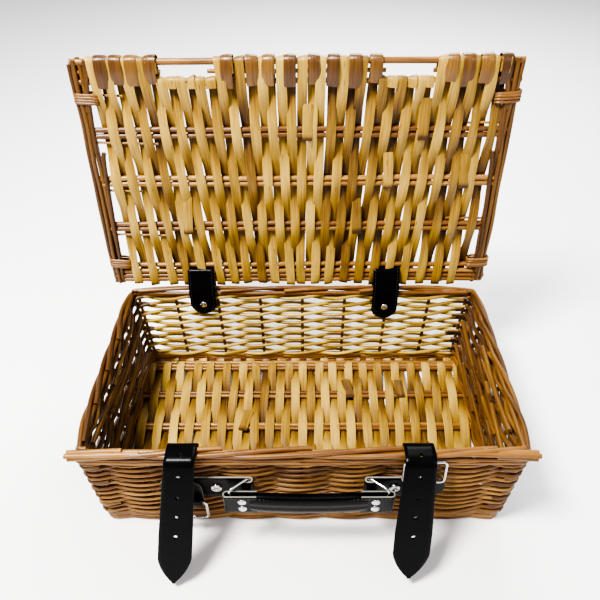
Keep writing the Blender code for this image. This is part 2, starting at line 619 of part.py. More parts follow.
def build_handle():
    """The carrying handle: two wire rings that swing in the chapes, and the riveted leather grip."""
    for side, sign in SIDES.items():
        swing = -RING_REST_ANGLE if sign > 0 else math.pi + RING_REST_ANGLE
        place = (HANDLE_SHIFT + sign * CHAPE_FOLD_X, CHAPE_FOLD_Y, HANDLE_Z)
        pivot = add_pivot(f"ring_pivot_{side}", place, (0, 0, swing))
        path = [(x, 0, z) for x, z in rounded_loop(RING_LENGTH, RING_HEIGHT, RING_CORNER_RADIUS)]
        put(tube(f"handle_ring_{side}", path, RING_WIRE_RADIUS, closed=True), STEEL, pivot)

    centre = (HANDLE_SHIFT, HANDLE_FOLD_Y, HANDLE_Z)
    room = RING_WIRE_RADIUS + HANDLE_STRIP_ROOM
    end_radius = room + HANDLE_STRIP_THICKNESS
    end = HANDLE_FOLD_X + HANDLE_PLAY
    solid = HANDLE_FOLD_X - HANDLE_PLAY - room
    core = HANDLE_CORE_THICKNESS / 2
    half_grip = GRIP_LENGTH / 2
    top = [(-half_grip, end_radius), (-half_grip, core), (half_grip, core), (half_grip, end_radius)]
    cap = arc((end, 0), end_radius, math.pi / 2, -math.pi / 2, 8)
    edge = top + cap
    outline = edge + [(-x, -y) for x, y in edge]
    loops = [ring_slot(sign) for sign in SIDES.values()]
    strip = flat_outline("handle_strip", outline, HANDLE_STRIP_WIDTH / 2, loops)
    strip = as_mesh(put(strip, LEATHER, location=centre))
    waist = HANDLE_CORE_WIDTH / 2
    for sign in SIDES.values():
        zs = sorted((HANDLE_Z + sign * waist, HANDLE_Z + sign * HANDLE_STRIP_WIDTH))
        reach = half_grip - CLEAR
        low = (HANDLE_SHIFT - reach, HANDLE_FOLD_Y - HANDLE_STRIP_WIDTH, zs[0])
        cut_box(strip, low, (HANDLE_SHIFT + reach, HANDLE_FOLD_Y + HANDLE_STRIP_WIDTH, zs[1]))

    corner = GRIP_THICKNESS * 0.42
    body = rounded_loop(GRIP_THICKNESS, GRIP_WIDTH, corner, 5)
    section = [(y - GRIP_THICKNESS / 2, z) for y, z in body]
    hole = rectangle(-core - CLEAR, -waist - CLEAR, core + CLEAR, waist + CLEAR)
    cover = flat_outline("grip_cover", section, half_grip - PANEL_GAP, [hole])
    put(cover, LEATHER, location=centre, rotation=ALONG_X)

    rivet_x = solid - HANDLE_RIVET_INSET
    for side, sign in SIDES.items():
        for level, step in (("upper", 1), ("lower", -1)):
            x, z = HANDLE_SHIFT + sign * rivet_x, HANDLE_Z + step * HANDLE_RIVET_PITCH / 2
            drill(strip, (x, HANDLE_FOLD_Y, z), 4 * end_radius)
            face = end_radius + CLEAR
            front, back = HANDLE_FOLD_Y - face, HANDLE_FOLD_Y + face
            add_rivet(f"handle_rivet_{level}_{side}", front, back, x, z)


def build_buckles():
    """The buckle tabs that swivel on the strap rivets, each with its buckle frame and prong."""
    wrap = BUCKLE_WIRE_RADIUS + CLEAR + LEATHER_THICKNESS / 2
    fold_out = TAB_FOLD_Y - TAB_BACK_Y
    radius = TAB_WIDTH / 2
    for side, sign in SIDES.items():
        place = (sign * STRAP_X, TAB_BACK_Y, TAB_PIVOT_Z)
        swivel = add_pivot(f"tab_pivot_{side}", place, (0, BUCKLE_TURN[side], 0))
        centre = -LEATHER_THICKNESS / 2
        path = [(centre, -radius), (centre, TAB_REACH)]
        path += arc((fold_out, TAB_REACH), wrap, 0, math.pi, 8)[1:]
        path += [(fold_out - wrap, TAB_REACH - TAB_RETURN)]
        tab = flat_outline(f"buckle_tab_{side}", ribbon(path, LEATHER_THICKNESS), radius)
        tab = as_mesh(put(tab, LEATHER, swivel, rotation=ALONG_X))
        drill(tab, (0, centre, 0), 3 * LEATHER_THICKNESS, parent=swivel)
        reach = TAB_REACH * 2
        end = arc((0, 0), radius - CLEAR, math.pi, 2 * math.pi, 10)
        trim(tab, end + [(radius - CLEAR, reach), (CLEAR - radius, reach)], swivel)
        slot = TAB_PRONG_SLOT / 2
        low = (-slot, fold_out - 2 * wrap, TAB_REACH - 2 * TAB_RETURN)
        cut_box(tab, low, (slot, -LEATHER_THICKNESS - CLEAR, TAB_REACH + 2 * wrap), swivel)
        eye_room = BUCKLE_WIRE_RADIUS + PRONG_THICKNESS + 3 * CLEAR
        low = (-slot, fold_out - 2 * wrap, TAB_REACH - eye_room)
        cut_box(tab, low, (slot, CLEAR, TAB_REACH + 2 * wrap), swivel)

        lean = BUCKLE_LEAN[side]
        hinge = add_pivot(f"buckle_pivot_{side}", (0, fold_out, TAB_REACH), (-lean, 0, 0), swivel)
        loop = rounded_loop(BUCKLE_LENGTH, BUCKLE_WIDTH, BUCKLE_CORNER_RADIUS)
        path = [(x, 0, along) for along, x in loop]
        put(tube(f"buckle_frame_{side}", path, BUCKLE_WIRE_RADIUS, closed=True), STEEL, hinge)

        eye = BUCKLE_WIRE_RADIUS + CLEAR + PRONG_THICKNESS / 2
        rest = BUCKLE_WIRE_RADIUS + CLEAR + PRONG_THICKNESS / 2
        path = arc((0, 0), eye, math.radians(80), math.radians(-180), 12)
        path += [(-rest, BUCKLE_LENGTH * 0.5), (-rest, BUCKLE_LENGTH + BUCKLE_WIRE_RADIUS / 2)]
        prong = flat_outline(f"buckle_prong_{side}", ribbon(path, PRONG_THICKNESS), PRONG_WIDTH / 2)
        put(prong, STEEL, hinge, rotation=ALONG_X)


def main():
    """Builds the hamper, piece by piece."""
    build_floor()
    walls = build_walls()
    build_rim()
    lid_pivot = build_lid()
    build_hinges(lid_pivot, walls["wall_back"])
    build_straps(walls["wall_front"])
    build_chapes(walls["wall_front"])
    build_handle()
    build_buckles()


main()
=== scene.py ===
"""A willow picnic hamper: woven willow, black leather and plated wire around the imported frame.

Metres, +Z up, front towards -Y. Every strand of willow is a curve that a Geometry Nodes tree sweeps; the
leather is cut flat, punched, and then bent along its path.
"""

import json
import logging
import math
import random
from dataclasses import dataclass, field
from enum import Enum
from typing import Callable, Iterable, Sequence

import bmesh
import bpy
import numpy as np
from mathutils import Matrix, Vector

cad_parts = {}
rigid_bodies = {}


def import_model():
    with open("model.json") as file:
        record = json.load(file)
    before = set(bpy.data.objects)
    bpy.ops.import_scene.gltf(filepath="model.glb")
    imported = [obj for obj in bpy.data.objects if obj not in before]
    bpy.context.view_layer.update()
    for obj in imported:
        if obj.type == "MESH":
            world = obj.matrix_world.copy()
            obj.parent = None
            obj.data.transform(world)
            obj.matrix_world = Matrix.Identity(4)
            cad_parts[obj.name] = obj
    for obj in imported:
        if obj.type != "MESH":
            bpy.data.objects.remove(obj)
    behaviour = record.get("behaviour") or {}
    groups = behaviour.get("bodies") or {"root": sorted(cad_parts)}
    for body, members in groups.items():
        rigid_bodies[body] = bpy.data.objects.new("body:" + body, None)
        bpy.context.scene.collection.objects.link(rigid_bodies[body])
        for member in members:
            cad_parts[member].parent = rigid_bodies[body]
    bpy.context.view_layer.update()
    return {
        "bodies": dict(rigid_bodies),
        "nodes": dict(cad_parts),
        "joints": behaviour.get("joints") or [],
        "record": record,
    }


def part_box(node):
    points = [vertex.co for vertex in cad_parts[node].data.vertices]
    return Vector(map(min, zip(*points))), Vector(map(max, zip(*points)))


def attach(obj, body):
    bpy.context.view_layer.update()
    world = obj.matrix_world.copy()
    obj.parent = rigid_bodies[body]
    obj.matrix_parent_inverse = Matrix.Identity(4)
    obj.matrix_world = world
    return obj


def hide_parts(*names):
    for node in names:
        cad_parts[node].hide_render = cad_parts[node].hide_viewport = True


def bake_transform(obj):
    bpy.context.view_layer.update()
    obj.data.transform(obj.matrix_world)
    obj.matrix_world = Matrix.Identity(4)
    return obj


LOG = logging.getLogger("willow_hamper")
Point = tuple[float, float, float]


# ---------------------------------------------------------------- shader maths


class Sock:
    """A shader value whose arithmetic adds Math nodes."""

    def __init__(self, shader: "Shader", socket: bpy.types.NodeSocket) -> None:
        """Keeps the tree builder and the socket.

        Args:
            shader: The builder that owns the tree.
            socket: The output that this value reads.
        """
        self.shader = shader
        self.socket = socket

    def _math(self, operation: str, *values: "Sock | float") -> "Sock":
        """One Math node on these values."""
        return self.shader.node("ShaderNodeMath", {"operation": operation}, dict(enumerate(values)))

    def __add__(self, other: "Sock | float") -> "Sock":
        """Adds."""
        return self._math("ADD", self, other)

    __radd__ = __add__

    def __sub__(self, other: "Sock | float") -> "Sock":
        """Subtracts."""
        return self._math("SUBTRACT", self, other)

    def __rsub__(self, other: float) -> "Sock":
        """Subtracts this from a number."""
        return self._math("SUBTRACT", other, self)

    def __mul__(self, other: "Sock | float") -> "Sock":
        """Multiplies."""
        return self._math("MULTIPLY", self, other)

    __rmul__ = __mul__

    def power(self, exponent: float) -> "Sock":
        """Raises to a power."""
        return self._math("POWER", self, exponent)

    def clamp(self) -> "Sock":
        """Limits to the range from 0 to 1."""
        return self.shader.node("ShaderNodeClamp", {}, {"Value": self})


class Shader:
    """Builds one material's node tree around a Principled BSDF."""

    def __init__(self, name: str) -> None:
        """Starts a material with an empty Principled BSDF.

        Args:
            name: The material's name.
        """
        self.material = bpy.data.materials.new(name)
        self.material.use_nodes = True
        self.tree = self.material.node_tree
        self.bsdf = self.tree.nodes["Principled BSDF"]

    def node(self, kind: str, settings: dict, values: dict, output: int | str = 0) -> Sock:
        """Adds a node.

        Args:
            kind: The node's type.
            settings: Properties to set before its sockets are.
            values: Socket name or index to a number, colour, vector or Sock.
            output: The output to return.

        Returns:
            The chosen output as a Sock.
        """
        made = self.tree.nodes.new(kind)
        for key, value in settings.items():
            if key == "stops":
                self._set_stops(made, value)
            else:
                setattr(made, key, value)
        for key, value in values.items():
            if isinstance(value, Sock):
                self.tree.links.new(value.socket, made.inputs[key])
            else:
                made.inputs[key].default_value = value
        return Sock(self, made.outputs[output])

    @staticmethod
    def _set_stops(ramp: bpy.types.Node, stops: Sequence[tuple[float, tuple[float, float, float]]]) -> None:
        """Gives a colour ramp its stops."""
        elements = ramp.color_ramp.elements
        while len(elements) < len(stops):
            elements.new(1.0)
        for element, (place, colour) in zip(elements, stops):
            element.position = place
            element.color = (*colour, 1.0)

    def attribute(self, name: str, output: str = "Fac") -> Sock:
        """Reads an attribute of the mesh."""
        return self.node("ShaderNodeAttribute", {"attribute_name": name}, {}, output)

    def object_place(self) -> Sock:
        """The place on the piece, in metres."""
        return self.node("ShaderNodeTexCoord", {}, {}, "Object")

    def mapping(self, vector: Sock, scale: Point) -> Sock:
        """Scales a vector."""
        return self.node("ShaderNodeMapping", {}, {"Vector": vector, "Scale": scale})

    def combine(self, x: Sock | float, y: Sock | float, z: Sock | float) -> Sock:
        """A vector from three values."""
        return self.node("ShaderNodeCombineXYZ", {}, {"X": x, "Y": y, "Z": z})

    def noise(self, vector: Sock, scale: float, detail: float = 3.0, roughness: float = 0.55) -> Sock:
        """Fractal noise from 0 to 1."""
        values = {"Vector": vector, "Scale": scale, "Detail": detail, "Roughness": roughness}
        return self.node("ShaderNodeTexNoise", {}, values, "Fac")

    def ramp(self, fac: Sock, stops: Sequence[tuple[float, tuple[float, float, float]]]) -> Sock:
        """A colour ramp."""
        return self.node("ShaderNodeValToRGB", {"stops": stops}, {"Fac": fac}, "Color")

    def mix(self, fac: Sock | float, a: Sock | tuple, b: Sock | tuple, blend: str = "MIX") -> Sock:
        """Mixes two colours."""
        made = self.tree.nodes.new("ShaderNodeMix")
        made.data_type = "RGBA"
        made.blend_type = blend
        for index, value in ((0, fac), (6, a), (7, b)):
            if isinstance(value, Sock):
                self.tree.links.new(value.socket, made.inputs[index])
            else:
                made.inputs[index].default_value = value if index == 0 else (*value, 1.0)
        return Sock(self, made.outputs[2])

    def bump(self, height: Sock, distance: float, strength: float = 1.0) -> Sock:
        """A Bump node's normal."""
        values = {"Height": height, "Distance": distance, "Strength": strength}
        return self.node("ShaderNodeBump", {}, values, "Normal")

    def finish(self, **values: Sock | float) -> bpy.types.Material:
        """Sets the Principled BSDF's inputs and returns the material.

        Args:
            values: Input names, with underscores for spaces.

        Returns:
            The finished material.
        """
        for key, value in values.items():
            socket = self.bsdf.inputs[key.replace("_", " ")]
            if isinstance(value, Sock):
                self.tree.links.new(value.socket, socket)
            else:
                socket.default_value = value
        return self.material


# ---------------------------------------------------------------- finishes


@dataclass(frozen=True)
class WillowFinish:
    """Willow with grain along the strand, a tone of its own for each strand and painted shade where it dips under a
    rod.
    """

    name: str
    tones: tuple[tuple[float, tuple[float, float, float]], ...]
    stain: tuple[float, float, float]
    roughness: float
    coat: float
    under_shade_strength: float = 0.0
    grain: float = 0.00025

    def build(self) -> bpy.types.Material:
        """Makes the material, which reads the strand's tone, length, section and width attributes; the width paints
        shade where a slat narrows under a rod.
        """
        shader = Shader(self.name)
        tone = shader.attribute("tone")
        along = shader.attribute("along")
        ring = shader.attribute("ring", "Vector")
        split = shader.node("ShaderNodeSeparateXYZ", {}, {"Vector": ring}, "X")
        across = shader.node("ShaderNodeSeparateXYZ", {}, {"Vector": ring}, "Y")
        fibre = shader.combine(split * 900.0 + tone * 57.0, across * 900.0, along * 22.0 + tone * 31.0)
        patch = shader.combine(split * 120.0 + tone * 91.0, across * 120.0, along * 28.0 + tone * 13.0)
        streaks = shader.noise(fibre, 1.0, 4.0, 0.6)
        patches = shader.noise(patch, 1.0, 2.0, 0.5)
        # Painted shade and light: the strand's width darkens the colour where a slat narrows to dip under a rod and
        # lightens it where it widens over one, as much as this strength asks.
        swell = (shader.attribute("swell") - 1.0) * self.under_shade_strength
        shade = (tone * 0.50 + patches * 0.62 - 0.06 + (streaks - 0.5) * 0.85 + swell).clamp()
        colour = shader.ramp(shade, self.tones)
        stains = shader.ramp(patches + (streaks - 0.5) * 0.35, ((0.62, (0.0,) * 3), (0.78, (1.0,) * 3)))
        weathered = shader.mix(
            shader.node("ShaderNodeSeparateColor", {}, {"Color": stains}) * 0.42, colour, self.stain
        )
        knots = shader.node(
            "ShaderNodeTexVoronoi",
            {},
            {"Vector": shader.combine(split * 160.0 + tone * 43.0, across * 160.0, along * 34.0), "Scale": 1.0},
            "Distance",
        )
        knot = shader.ramp(knots, ((0.06, (1.0,) * 3), (0.13, (0.0,) * 3)))
        spotted = shader.mix(shader.node("ShaderNodeSeparateColor", {}, {"Color": knot}) * 0.7, weathered, self.stain)
        return shader.finish(
            Base_Color=spotted,
            Roughness=streaks * 0.22 + (self.roughness - 0.11),
            Specular_IOR_Level=0.34,
            Coat_Weight=self.coat,
            Coat_Roughness=0.22,
            Normal=shader.bump(streaks * 0.8 + patches * 0.5, self.grain * 2.4, 1.0),
        )


@dataclass(frozen=True)
class LeatherFinish:
    """Black grained leather, smoother where it is rubbed, with a paler raw edge."""

    name: str
    colour: tuple[float, float, float]
    edge: tuple[float, float, float]
    roughness: float
    pebble: float = 0.00022

    def build(self) -> bpy.types.Material:
        """Makes the material, which reads the strip's raw edge attribute."""
        shader = Shader(self.name)
        place = shader.object_place()
        cells = shader.node(
            "ShaderNodeTexVoronoi", {"feature": "SMOOTH_F1"}, {"Vector": place, "Scale": 900.0}, "Distance"
        )
        fine = shader.noise(place, 1400.0, 3.0, 0.6)
        broad = shader.noise(place, 60.0, 3.0, 0.6)
        scuffs = shader.noise(shader.mapping(place, (40.0, 140.0, 220.0)), 1.0, 4.0, 0.65)
        worn = shader.mix((scuffs - 0.52).clamp() * 1.6, self.colour, tuple(c * 2.2 + 0.001 for c in self.colour))
        raw = shader.attribute("raw") * (fine * 0.5 + 0.6)
        colour = shader.mix(raw.clamp(), worn, self.edge)
        relief = cells * 0.8 + fine * 0.3 + broad * 1.2
        return shader.finish(
            Base_Color=colour,
            Roughness=(broad * 0.22 + scuffs * 0.18 + (self.roughness - 0.2) + raw * 0.3).clamp(),
            Specular_IOR_Level=0.07,
            Coat_Weight=0.08,
            Coat_Roughness=0.16,
            Normal=shader.bump(relief, self.pebble, 0.55),
        )


@dataclass(frozen=True)
class SteelFinish:
    """Bright nickel plate with faint drawing marks."""

    name: str
    colour: tuple[float, float, float]
    roughness: float

    def build(self) -> bpy.types.Material:
        """Makes the material."""
        shader = Shader(self.name)
        place = shader.object_place()
        haze = shader.noise(place, 350.0, 3.0, 0.6)
        marks = shader.noise(shader.mapping(place, (900.0, 900.0, 2600.0)), 1.0, 2.0, 0.5)
        tarnish = shader.mix((haze - 0.5).clamp() * 0.8, self.colour, tuple(c * 0.55 for c in self.colour))
        return shader.finish(
            Base_Color=tarnish,
            Metallic=1.0,
            Roughness=haze * 0.14 + (self.roughness - 0.05),
            Normal=shader.bump(marks, 0.00003, 0.3),
        )


@dataclass(frozen=True)
class ThreadFinish:
    """Waxed thread, twisted."""

    name: str
    colour: tuple[float, float, float]

    def build(self) -> bpy.types.Material:
        """Makes the material."""
        shader = Shader(self.name)
        place = shader.object_place()
        twist = shader.node(
            "ShaderNodeTexWave", {"bands_direction": "DIAGONAL"}, {"Vector": place, "Scale": 900.0}, "Fac"
        )
        colour = shader.mix(twist, self.colour, tuple(c * 2.2 for c in self.colour))
        return shader.finish(Base_Color=colour, Roughness=0.5, Normal=shader.bump(twist, 0.0001, 0.6))


SLAT_TONES = (
    (0.0, (0.052, 0.021, 0.004)),
    (0.30, (0.145, 0.072, 0.009)),
    (0.62, (0.275, 0.160, 0.022)),
    (1.0, (0.445, 0.290, 0.064)),
)
ROD_TONES = (
    (0.0, (0.046, 0.015, 0.0036)),
    (0.35, (0.138, 0.054, 0.0107)),
    (0.70, (0.263, 0.124, 0.0269)),
    (1.0, (0.433, 0.247, 0.0809)),
)
STRAW_TONES = (
    (0.0, (0.130, 0.062, 0.004)),
    (0.35, (0.270, 0.152, 0.011)),
    (0.70, (0.430, 0.275, 0.033)),
    (1.0, (0.590, 0.420, 0.090)),
)
BROWN_TONES = (
    (0.0, (0.028, 0.010, 0.0028)),
    (0.40, (0.079, 0.032, 0.0066)),
    (0.75, (0.150, 0.069, 0.0128)),
    (1.0, (0.242, 0.125, 0.0257)),
)


class Finish(Enum):
    """The hamper's finishes, each with the record's slot that it belongs to."""

    # The last number is the strength of the painted shade that darkens a slat where it dips under a rod and lightens it
    # over one.
    SLAT = ("split_willow", WillowFinish("pale_split_willow", SLAT_TONES, (0.13, 0.060, 0.006), 0.42, 0.10, 1.5))
    WEAVER = ("split_willow", WillowFinish("golden_willow_weaver", ROD_TONES, (0.10, 0.038, 0.003), 0.40, 0.08))
    STRAW = ("split_willow", WillowFinish("straw_willow_weaver", STRAW_TONES, (0.14, 0.06, 0.006), 0.38, 0.12))
    ROD = ("willow_rod", WillowFinish("honey_willow_rod", ROD_TONES, (0.08, 0.030, 0.003), 0.34, 0.18))
    BARK = ("willow_rod", WillowFinish("brown_willow_bark", BROWN_TONES, (0.040, 0.015, 0.002), 0.40, 0.10))
    FLAP = ("willow_rod", WillowFinish("tan_willow_bark", BROWN_TONES, (0.06, 0.022, 0.003), 0.32, 0.25))
    LEATHER = (
        "black_leather", LeatherFinish("grained_black_leather", (0.0012, 0.0012, 0.0015), (0.30, 0.275, 0.235), 0.34)
    )
    THREAD = ("black_leather", ThreadFinish("waxed_black_thread", (0.009, 0.009, 0.010)))
    STEEL = ("plated_steel", SteelFinish("bright_nickel_plate", (0.52, 0.51, 0.49), 0.16))

    def __init__(self, slot: str, look: object) -> None:
        """Keeps the slot and the finish's recipe."""
        self.slot = slot
        self.look = look

    def material(self) -> bpy.types.Material:
        """The finish's material, made once."""
        made = bpy.data.materials.get(self.look.name)
        return made or self.look.build()


# ---------------------------------------------------------------- geometry nodes


class Tree:
    """Builds a Geometry Nodes tree with named inputs and puts it on objects."""

    def __init__(self, name: str, inputs: Sequence[tuple[str, str, object]]) -> None:
        """Starts a tree.

        Args:
            name: The tree's name.
            inputs: Each input's name, socket type and default.
        """
        self.group = bpy.data.node_groups.new(name, "GeometryNodeTree")
        interface = self.group.interface
        interface.new_socket("Geometry", in_out="INPUT", socket_type="NodeSocketGeometry")
        interface.new_socket("Geometry", in_out="OUTPUT", socket_type="NodeSocketGeometry")
        self.identifiers: dict[str, str] = {}
        for label, kind, default in inputs:
            socket = interface.new_socket(label, in_out="INPUT", socket_type=kind)
            if default is not None:
                socket.default_value = default
            self.identifiers[label] = socket.identifier
        self.entry = self.group.nodes.new("NodeGroupInput")
        self.exit = self.group.nodes.new("NodeGroupOutput")

    def add(self, kind: str, settings: dict | None = None, values: dict | None = None) -> bpy.types.Node:
        """Adds a node, with its settings first and then its sockets' values or links."""
        made = self.group.nodes.new(kind)
        for key, value in (settings or {}).items():
            setattr(made, key, value)
        for key, value in (values or {}).items():
            if isinstance(value, bpy.types.NodeSocket):
                self.group.links.new(value, made.inputs[key])
            else:
                made.inputs[key].default_value = value
        return made

    def given(self, label: str) -> bpy.types.NodeSocket:
        """The tree's own input of this name."""
        return self.entry.outputs[label]

    def end(self, geometry: bpy.types.NodeSocket) -> None:
        """Realizes the instances, sets the material and closes the tree."""
        real = self.add("GeometryNodeRealizeInstances", {}, {"Geometry": geometry})
        dressed = self.add(
            "GeometryNodeSetMaterial", {}, {"Geometry": real.outputs[0], "Material": self.given("Material")}
        )
        self.group.links.new(dressed.outputs[0], self.exit.inputs[0])

    def run(self, name: str, source: bpy.types.Object, **values: object) -> bpy.types.Object:
        """Evaluates the tree on an object and returns a plain mesh object.

        Args:
            name: The finished piece's name.
            source: The curve or mesh that the tree works on, which is removed.
            values: The tree's inputs by name.

        Returns:
            The new mesh object, linked to the scene and standing at the origin.
        """
        modifier = source.modifiers.new(self.group.name, "NODES")
        modifier.node_group = self.group
        for label, value in values.items():
            modifier[self.identifiers[label]] = value
        bpy.context.view_layer.update()
        graph = bpy.context.evaluated_depsgraph_get()
        mesh = bpy.data.meshes.new_from_object(source.evaluated_get(graph))
        source.modifiers.remove(modifier)
        bpy.data.objects.remove(source)
        mesh.name = name
        made = bpy.data.objects.new(name, mesh)
        bpy.context.scene.collection.objects.link(made)
        return made


def sweep_tree() -> Tree:
    """A strand of oval section along each curve, with its tone, length and section kept for the grain and its width
    kept for painted shade.
    """
    inputs = (
        ("Width", "NodeSocketFloat", 0.004),
        ("Thickness", "NodeSocketFloat", 0.004),
        ("Sides", "NodeSocketInt", 8),
        ("Seed", "NodeSocketInt", 1),
        ("Material", "NodeSocketMaterial", None),
    )
    tree = Tree("willow_strand", inputs)
    parameter = tree.add("GeometryNodeSplineParameter")
    along = tree.add(
        "GeometryNodeStoreNamedAttribute",
        {"data_type": "FLOAT", "domain": "POINT"},
        {"Geometry": tree.entry.outputs[0], "Name": "along", "Value": parameter.outputs["Length"]},
    )
    index = tree.add("GeometryNodeInputIndex")
    chance = tree.add("FunctionNodeRandomValue", {"data_type": "FLOAT"}, {"ID": index.outputs[0]})
    tree.group.links.new(tree.given("Seed"), chance.inputs["Seed"])
    each = tree.add(
        "GeometryNodeFieldOnDomain", {"domain": "CURVE", "data_type": "FLOAT"}, {"Value": chance.outputs[1]}
    )
    tone = tree.add(
        "GeometryNodeStoreNamedAttribute",
        {"data_type": "FLOAT", "domain": "POINT"},
        {"Geometry": along.outputs[0], "Name": "tone", "Value": each.outputs[0]},
    )
    # The width is kept so that the willow shader can paint shade where a strand narrows under a rod.
    radius = tree.add("GeometryNodeInputRadius")
    swell = tree.add(
        "GeometryNodeStoreNamedAttribute",
        {"data_type": "FLOAT", "domain": "POINT"},
        {"Geometry": tone.outputs[0], "Name": "swell", "Value": radius.outputs[0]},
    )
    circle = tree.add("GeometryNodeCurvePrimitiveCircle", {"mode": "RADIUS"}, {"Radius": 0.5})
    tree.group.links.new(tree.given("Sides"), circle.inputs["Resolution"])
    size = tree.add("ShaderNodeCombineXYZ", {}, {"X": tree.given("Width"), "Y": tree.given("Thickness"), "Z": 1.0})
    oval = tree.add(
        "GeometryNodeTransform", {}, {"Geometry": circle.outputs[0], "Scale": size.outputs[0]}
    )
    place = tree.add("GeometryNodeInputPosition")
    ring = tree.add(
        "GeometryNodeStoreNamedAttribute",
        {"data_type": "FLOAT_VECTOR", "domain": "POINT"},
        {"Geometry": oval.outputs[0], "Name": "ring", "Value": place.outputs[0]},
    )
    swept = tree.add(
        "GeometryNodeCurveToMesh",
        {},
        {"Curve": swell.outputs[0], "Profile Curve": ring.outputs[0], "Fill Caps": True},
    )
    angle = tree.add("GeometryNodeInputMeshEdgeAngle")
    sharp = tree.add(
        "FunctionNodeCompare", {"data_type": "FLOAT", "operation": "GREATER_THAN"}, {0: angle.outputs[0], 1: 0.95}
    )
    smooth = tree.add("GeometryNodeSetShadeSmooth", {"domain": "FACE"}, {"Geometry": swept.outputs[0]})
    creased = tree.add(
        "GeometryNodeSetShadeSmooth",
        {"domain": "EDGE"},
        {"Geometry": smooth.outputs[0], "Selection": sharp.outputs[0], "Shade Smooth": False},
    )
    tree.end(creased.outputs[0])
    return tree


def rivet_tree() -> Tree:
    """A domed rivet head on each point, facing along the point's normal."""
    inputs = (
        ("Radius", "NodeSocketFloat", 0.004),
        ("Dome", "NodeSocketFloat", 0.4),
        ("Material", "NodeSocketMaterial", None),
    )
    tree = Tree("domed_rivet", inputs)
    ball = tree.add("GeometryNodeMeshUVSphere", {}, {"Segments": 32, "Rings": 16, "Radius": 1.0})
    squat = tree.add("ShaderNodeCombineXYZ", {}, {"X": 1.0, "Y": 1.0, "Z": tree.given("Dome")})
    dome = tree.add("GeometryNodeTransform", {}, {"Geometry": ball.outputs[0], "Scale": squat.outputs[0]})
    normal = tree.add("GeometryNodeInputNamedAttribute", {"data_type": "FLOAT_VECTOR"}, {"Name": "facing"})
    turn = tree.add("FunctionNodeAlignRotationToVector", {"axis": "Z"}, {"Vector": normal.outputs[0]})
    placed = tree.add(
        "GeometryNodeInstanceOnPoints",
        {},
        {"Points": tree.entry.outputs[0], "Instance": dome.outputs[0], "Rotation": turn.outputs[0]},
    )
    sized = tree.add("ShaderNodeCombineXYZ", {}, {axis: tree.given("Radius") for axis in "XYZ"})
    tree.group.links.new(sized.outputs[0], placed.inputs["Scale"])
    smooth = tree.add("GeometryNodeSetShadeSmooth", {"domain": "FACE"})
    real = tree.add("GeometryNodeRealizeInstances", {}, {"Geometry": placed.outputs[0]})
    tree.group.links.new(real.outputs[0], smooth.inputs["Geometry"])
    tree.end(smooth.outputs[0])
    return tree


def stitch_tree() -> Tree:
    """A row of short thread stitches along each curve."""
    inputs = (
        ("Pitch", "NodeSocketFloat", 0.0034),
        ("Length", "NodeSocketFloat", 0.0023),
        ("Thickness", "NodeSocketFloat", 0.0009),
        ("Material", "NodeSocketMaterial", None),
    )
    tree = Tree("saddle_stitch", inputs)
    points = tree.add("GeometryNodeCurveToPoints", {"mode": "LENGTH"}, {"Curve": tree.entry.outputs[0]})
    tree.group.links.new(tree.given("Pitch"), points.inputs["Length"])
    bead = tree.add("GeometryNodeMeshUVSphere", {}, {"Segments": 8, "Rings": 6, "Radius": 0.5})
    size = tree.add(
        "ShaderNodeCombineXYZ",
        {},
        {"X": tree.given("Thickness"), "Y": tree.given("Thickness"), "Z": tree.given("Length")},
    )
    stitch = tree.add("GeometryNodeTransform", {}, {"Geometry": bead.outputs[0], "Scale": size.outputs[0]})
    turn = tree.add("FunctionNodeAlignRotationToVector", {"axis": "Z"}, {"Vector": points.outputs["Tangent"]})
    placed = tree.add(
        "GeometryNodeInstanceOnPoints",
        {},
        {"Points": points.outputs["Points"], "Instance": stitch.outputs[0], "Rotation": turn.outputs[0]},
    )
    real = tree.add("GeometryNodeRealizeInstances", {}, {"Geometry": placed.outputs[0]})
    smooth = tree.add("GeometryNodeSetShadeSmooth", {"domain": "FACE"}, {"Geometry": real.outputs[0]})
    tree.end(smooth.outputs[0])
    return tree


# ---------------------------------------------------------------- strands


@dataclass
class Strand:
    """One willow strand: its points, and its width and twist along them."""

    points: np.ndarray
    widths: np.ndarray
    tilts: np.ndarray

    @classmethod
    def of(
        cls, points: Iterable[Sequence[float]], width: float = 1.0, taper: float = 0.0, twist: float = 0.0
    ) -> "Strand":
        """A strand whose ends narrow by taper and which twists by twist radians from end to end."""
        places = np.array(list(points), float)
        share = np.linspace(0.0, 1.0, len(places))
        edge = np.minimum(share, 1.0 - share)
        widths = width * (1.0 - taper * np.clip(1.0 - edge / 0.08, 0.0, 1.0))
        return cls(places, widths, (share - 0.5) * twist)


def curve_of(name: str, strands: Sequence[Strand], closed: bool = False) -> bpy.types.Object:
    """A curve object with one poly spline for each strand.

    Args:
        name: The object's name.
        strands: The strands.
        closed: Whether each spline joins up.

    Returns:
        The object, linked to the scene.
    """
    data = bpy.data.curves.new(name, "CURVE")
    data.dimensions = "3D"
    data.twist_mode = "MINIMUM"
    for strand in strands:
        spline = data.splines.new("POLY")
        spline.points.add(len(strand.points) - 1)
        flat = np.c_[strand.points, np.ones(len(strand.points))]
        spline.points.foreach_set("co", flat.ravel())
        spline.points.foreach_set("radius", strand.widths)
        spline.points.foreach_set("tilt", strand.tilts)
        spline.use_cyclic_u = closed
    made = bpy.data.objects.new(name, data)
    bpy.context.scene.collection.objects.link(made)
    return made


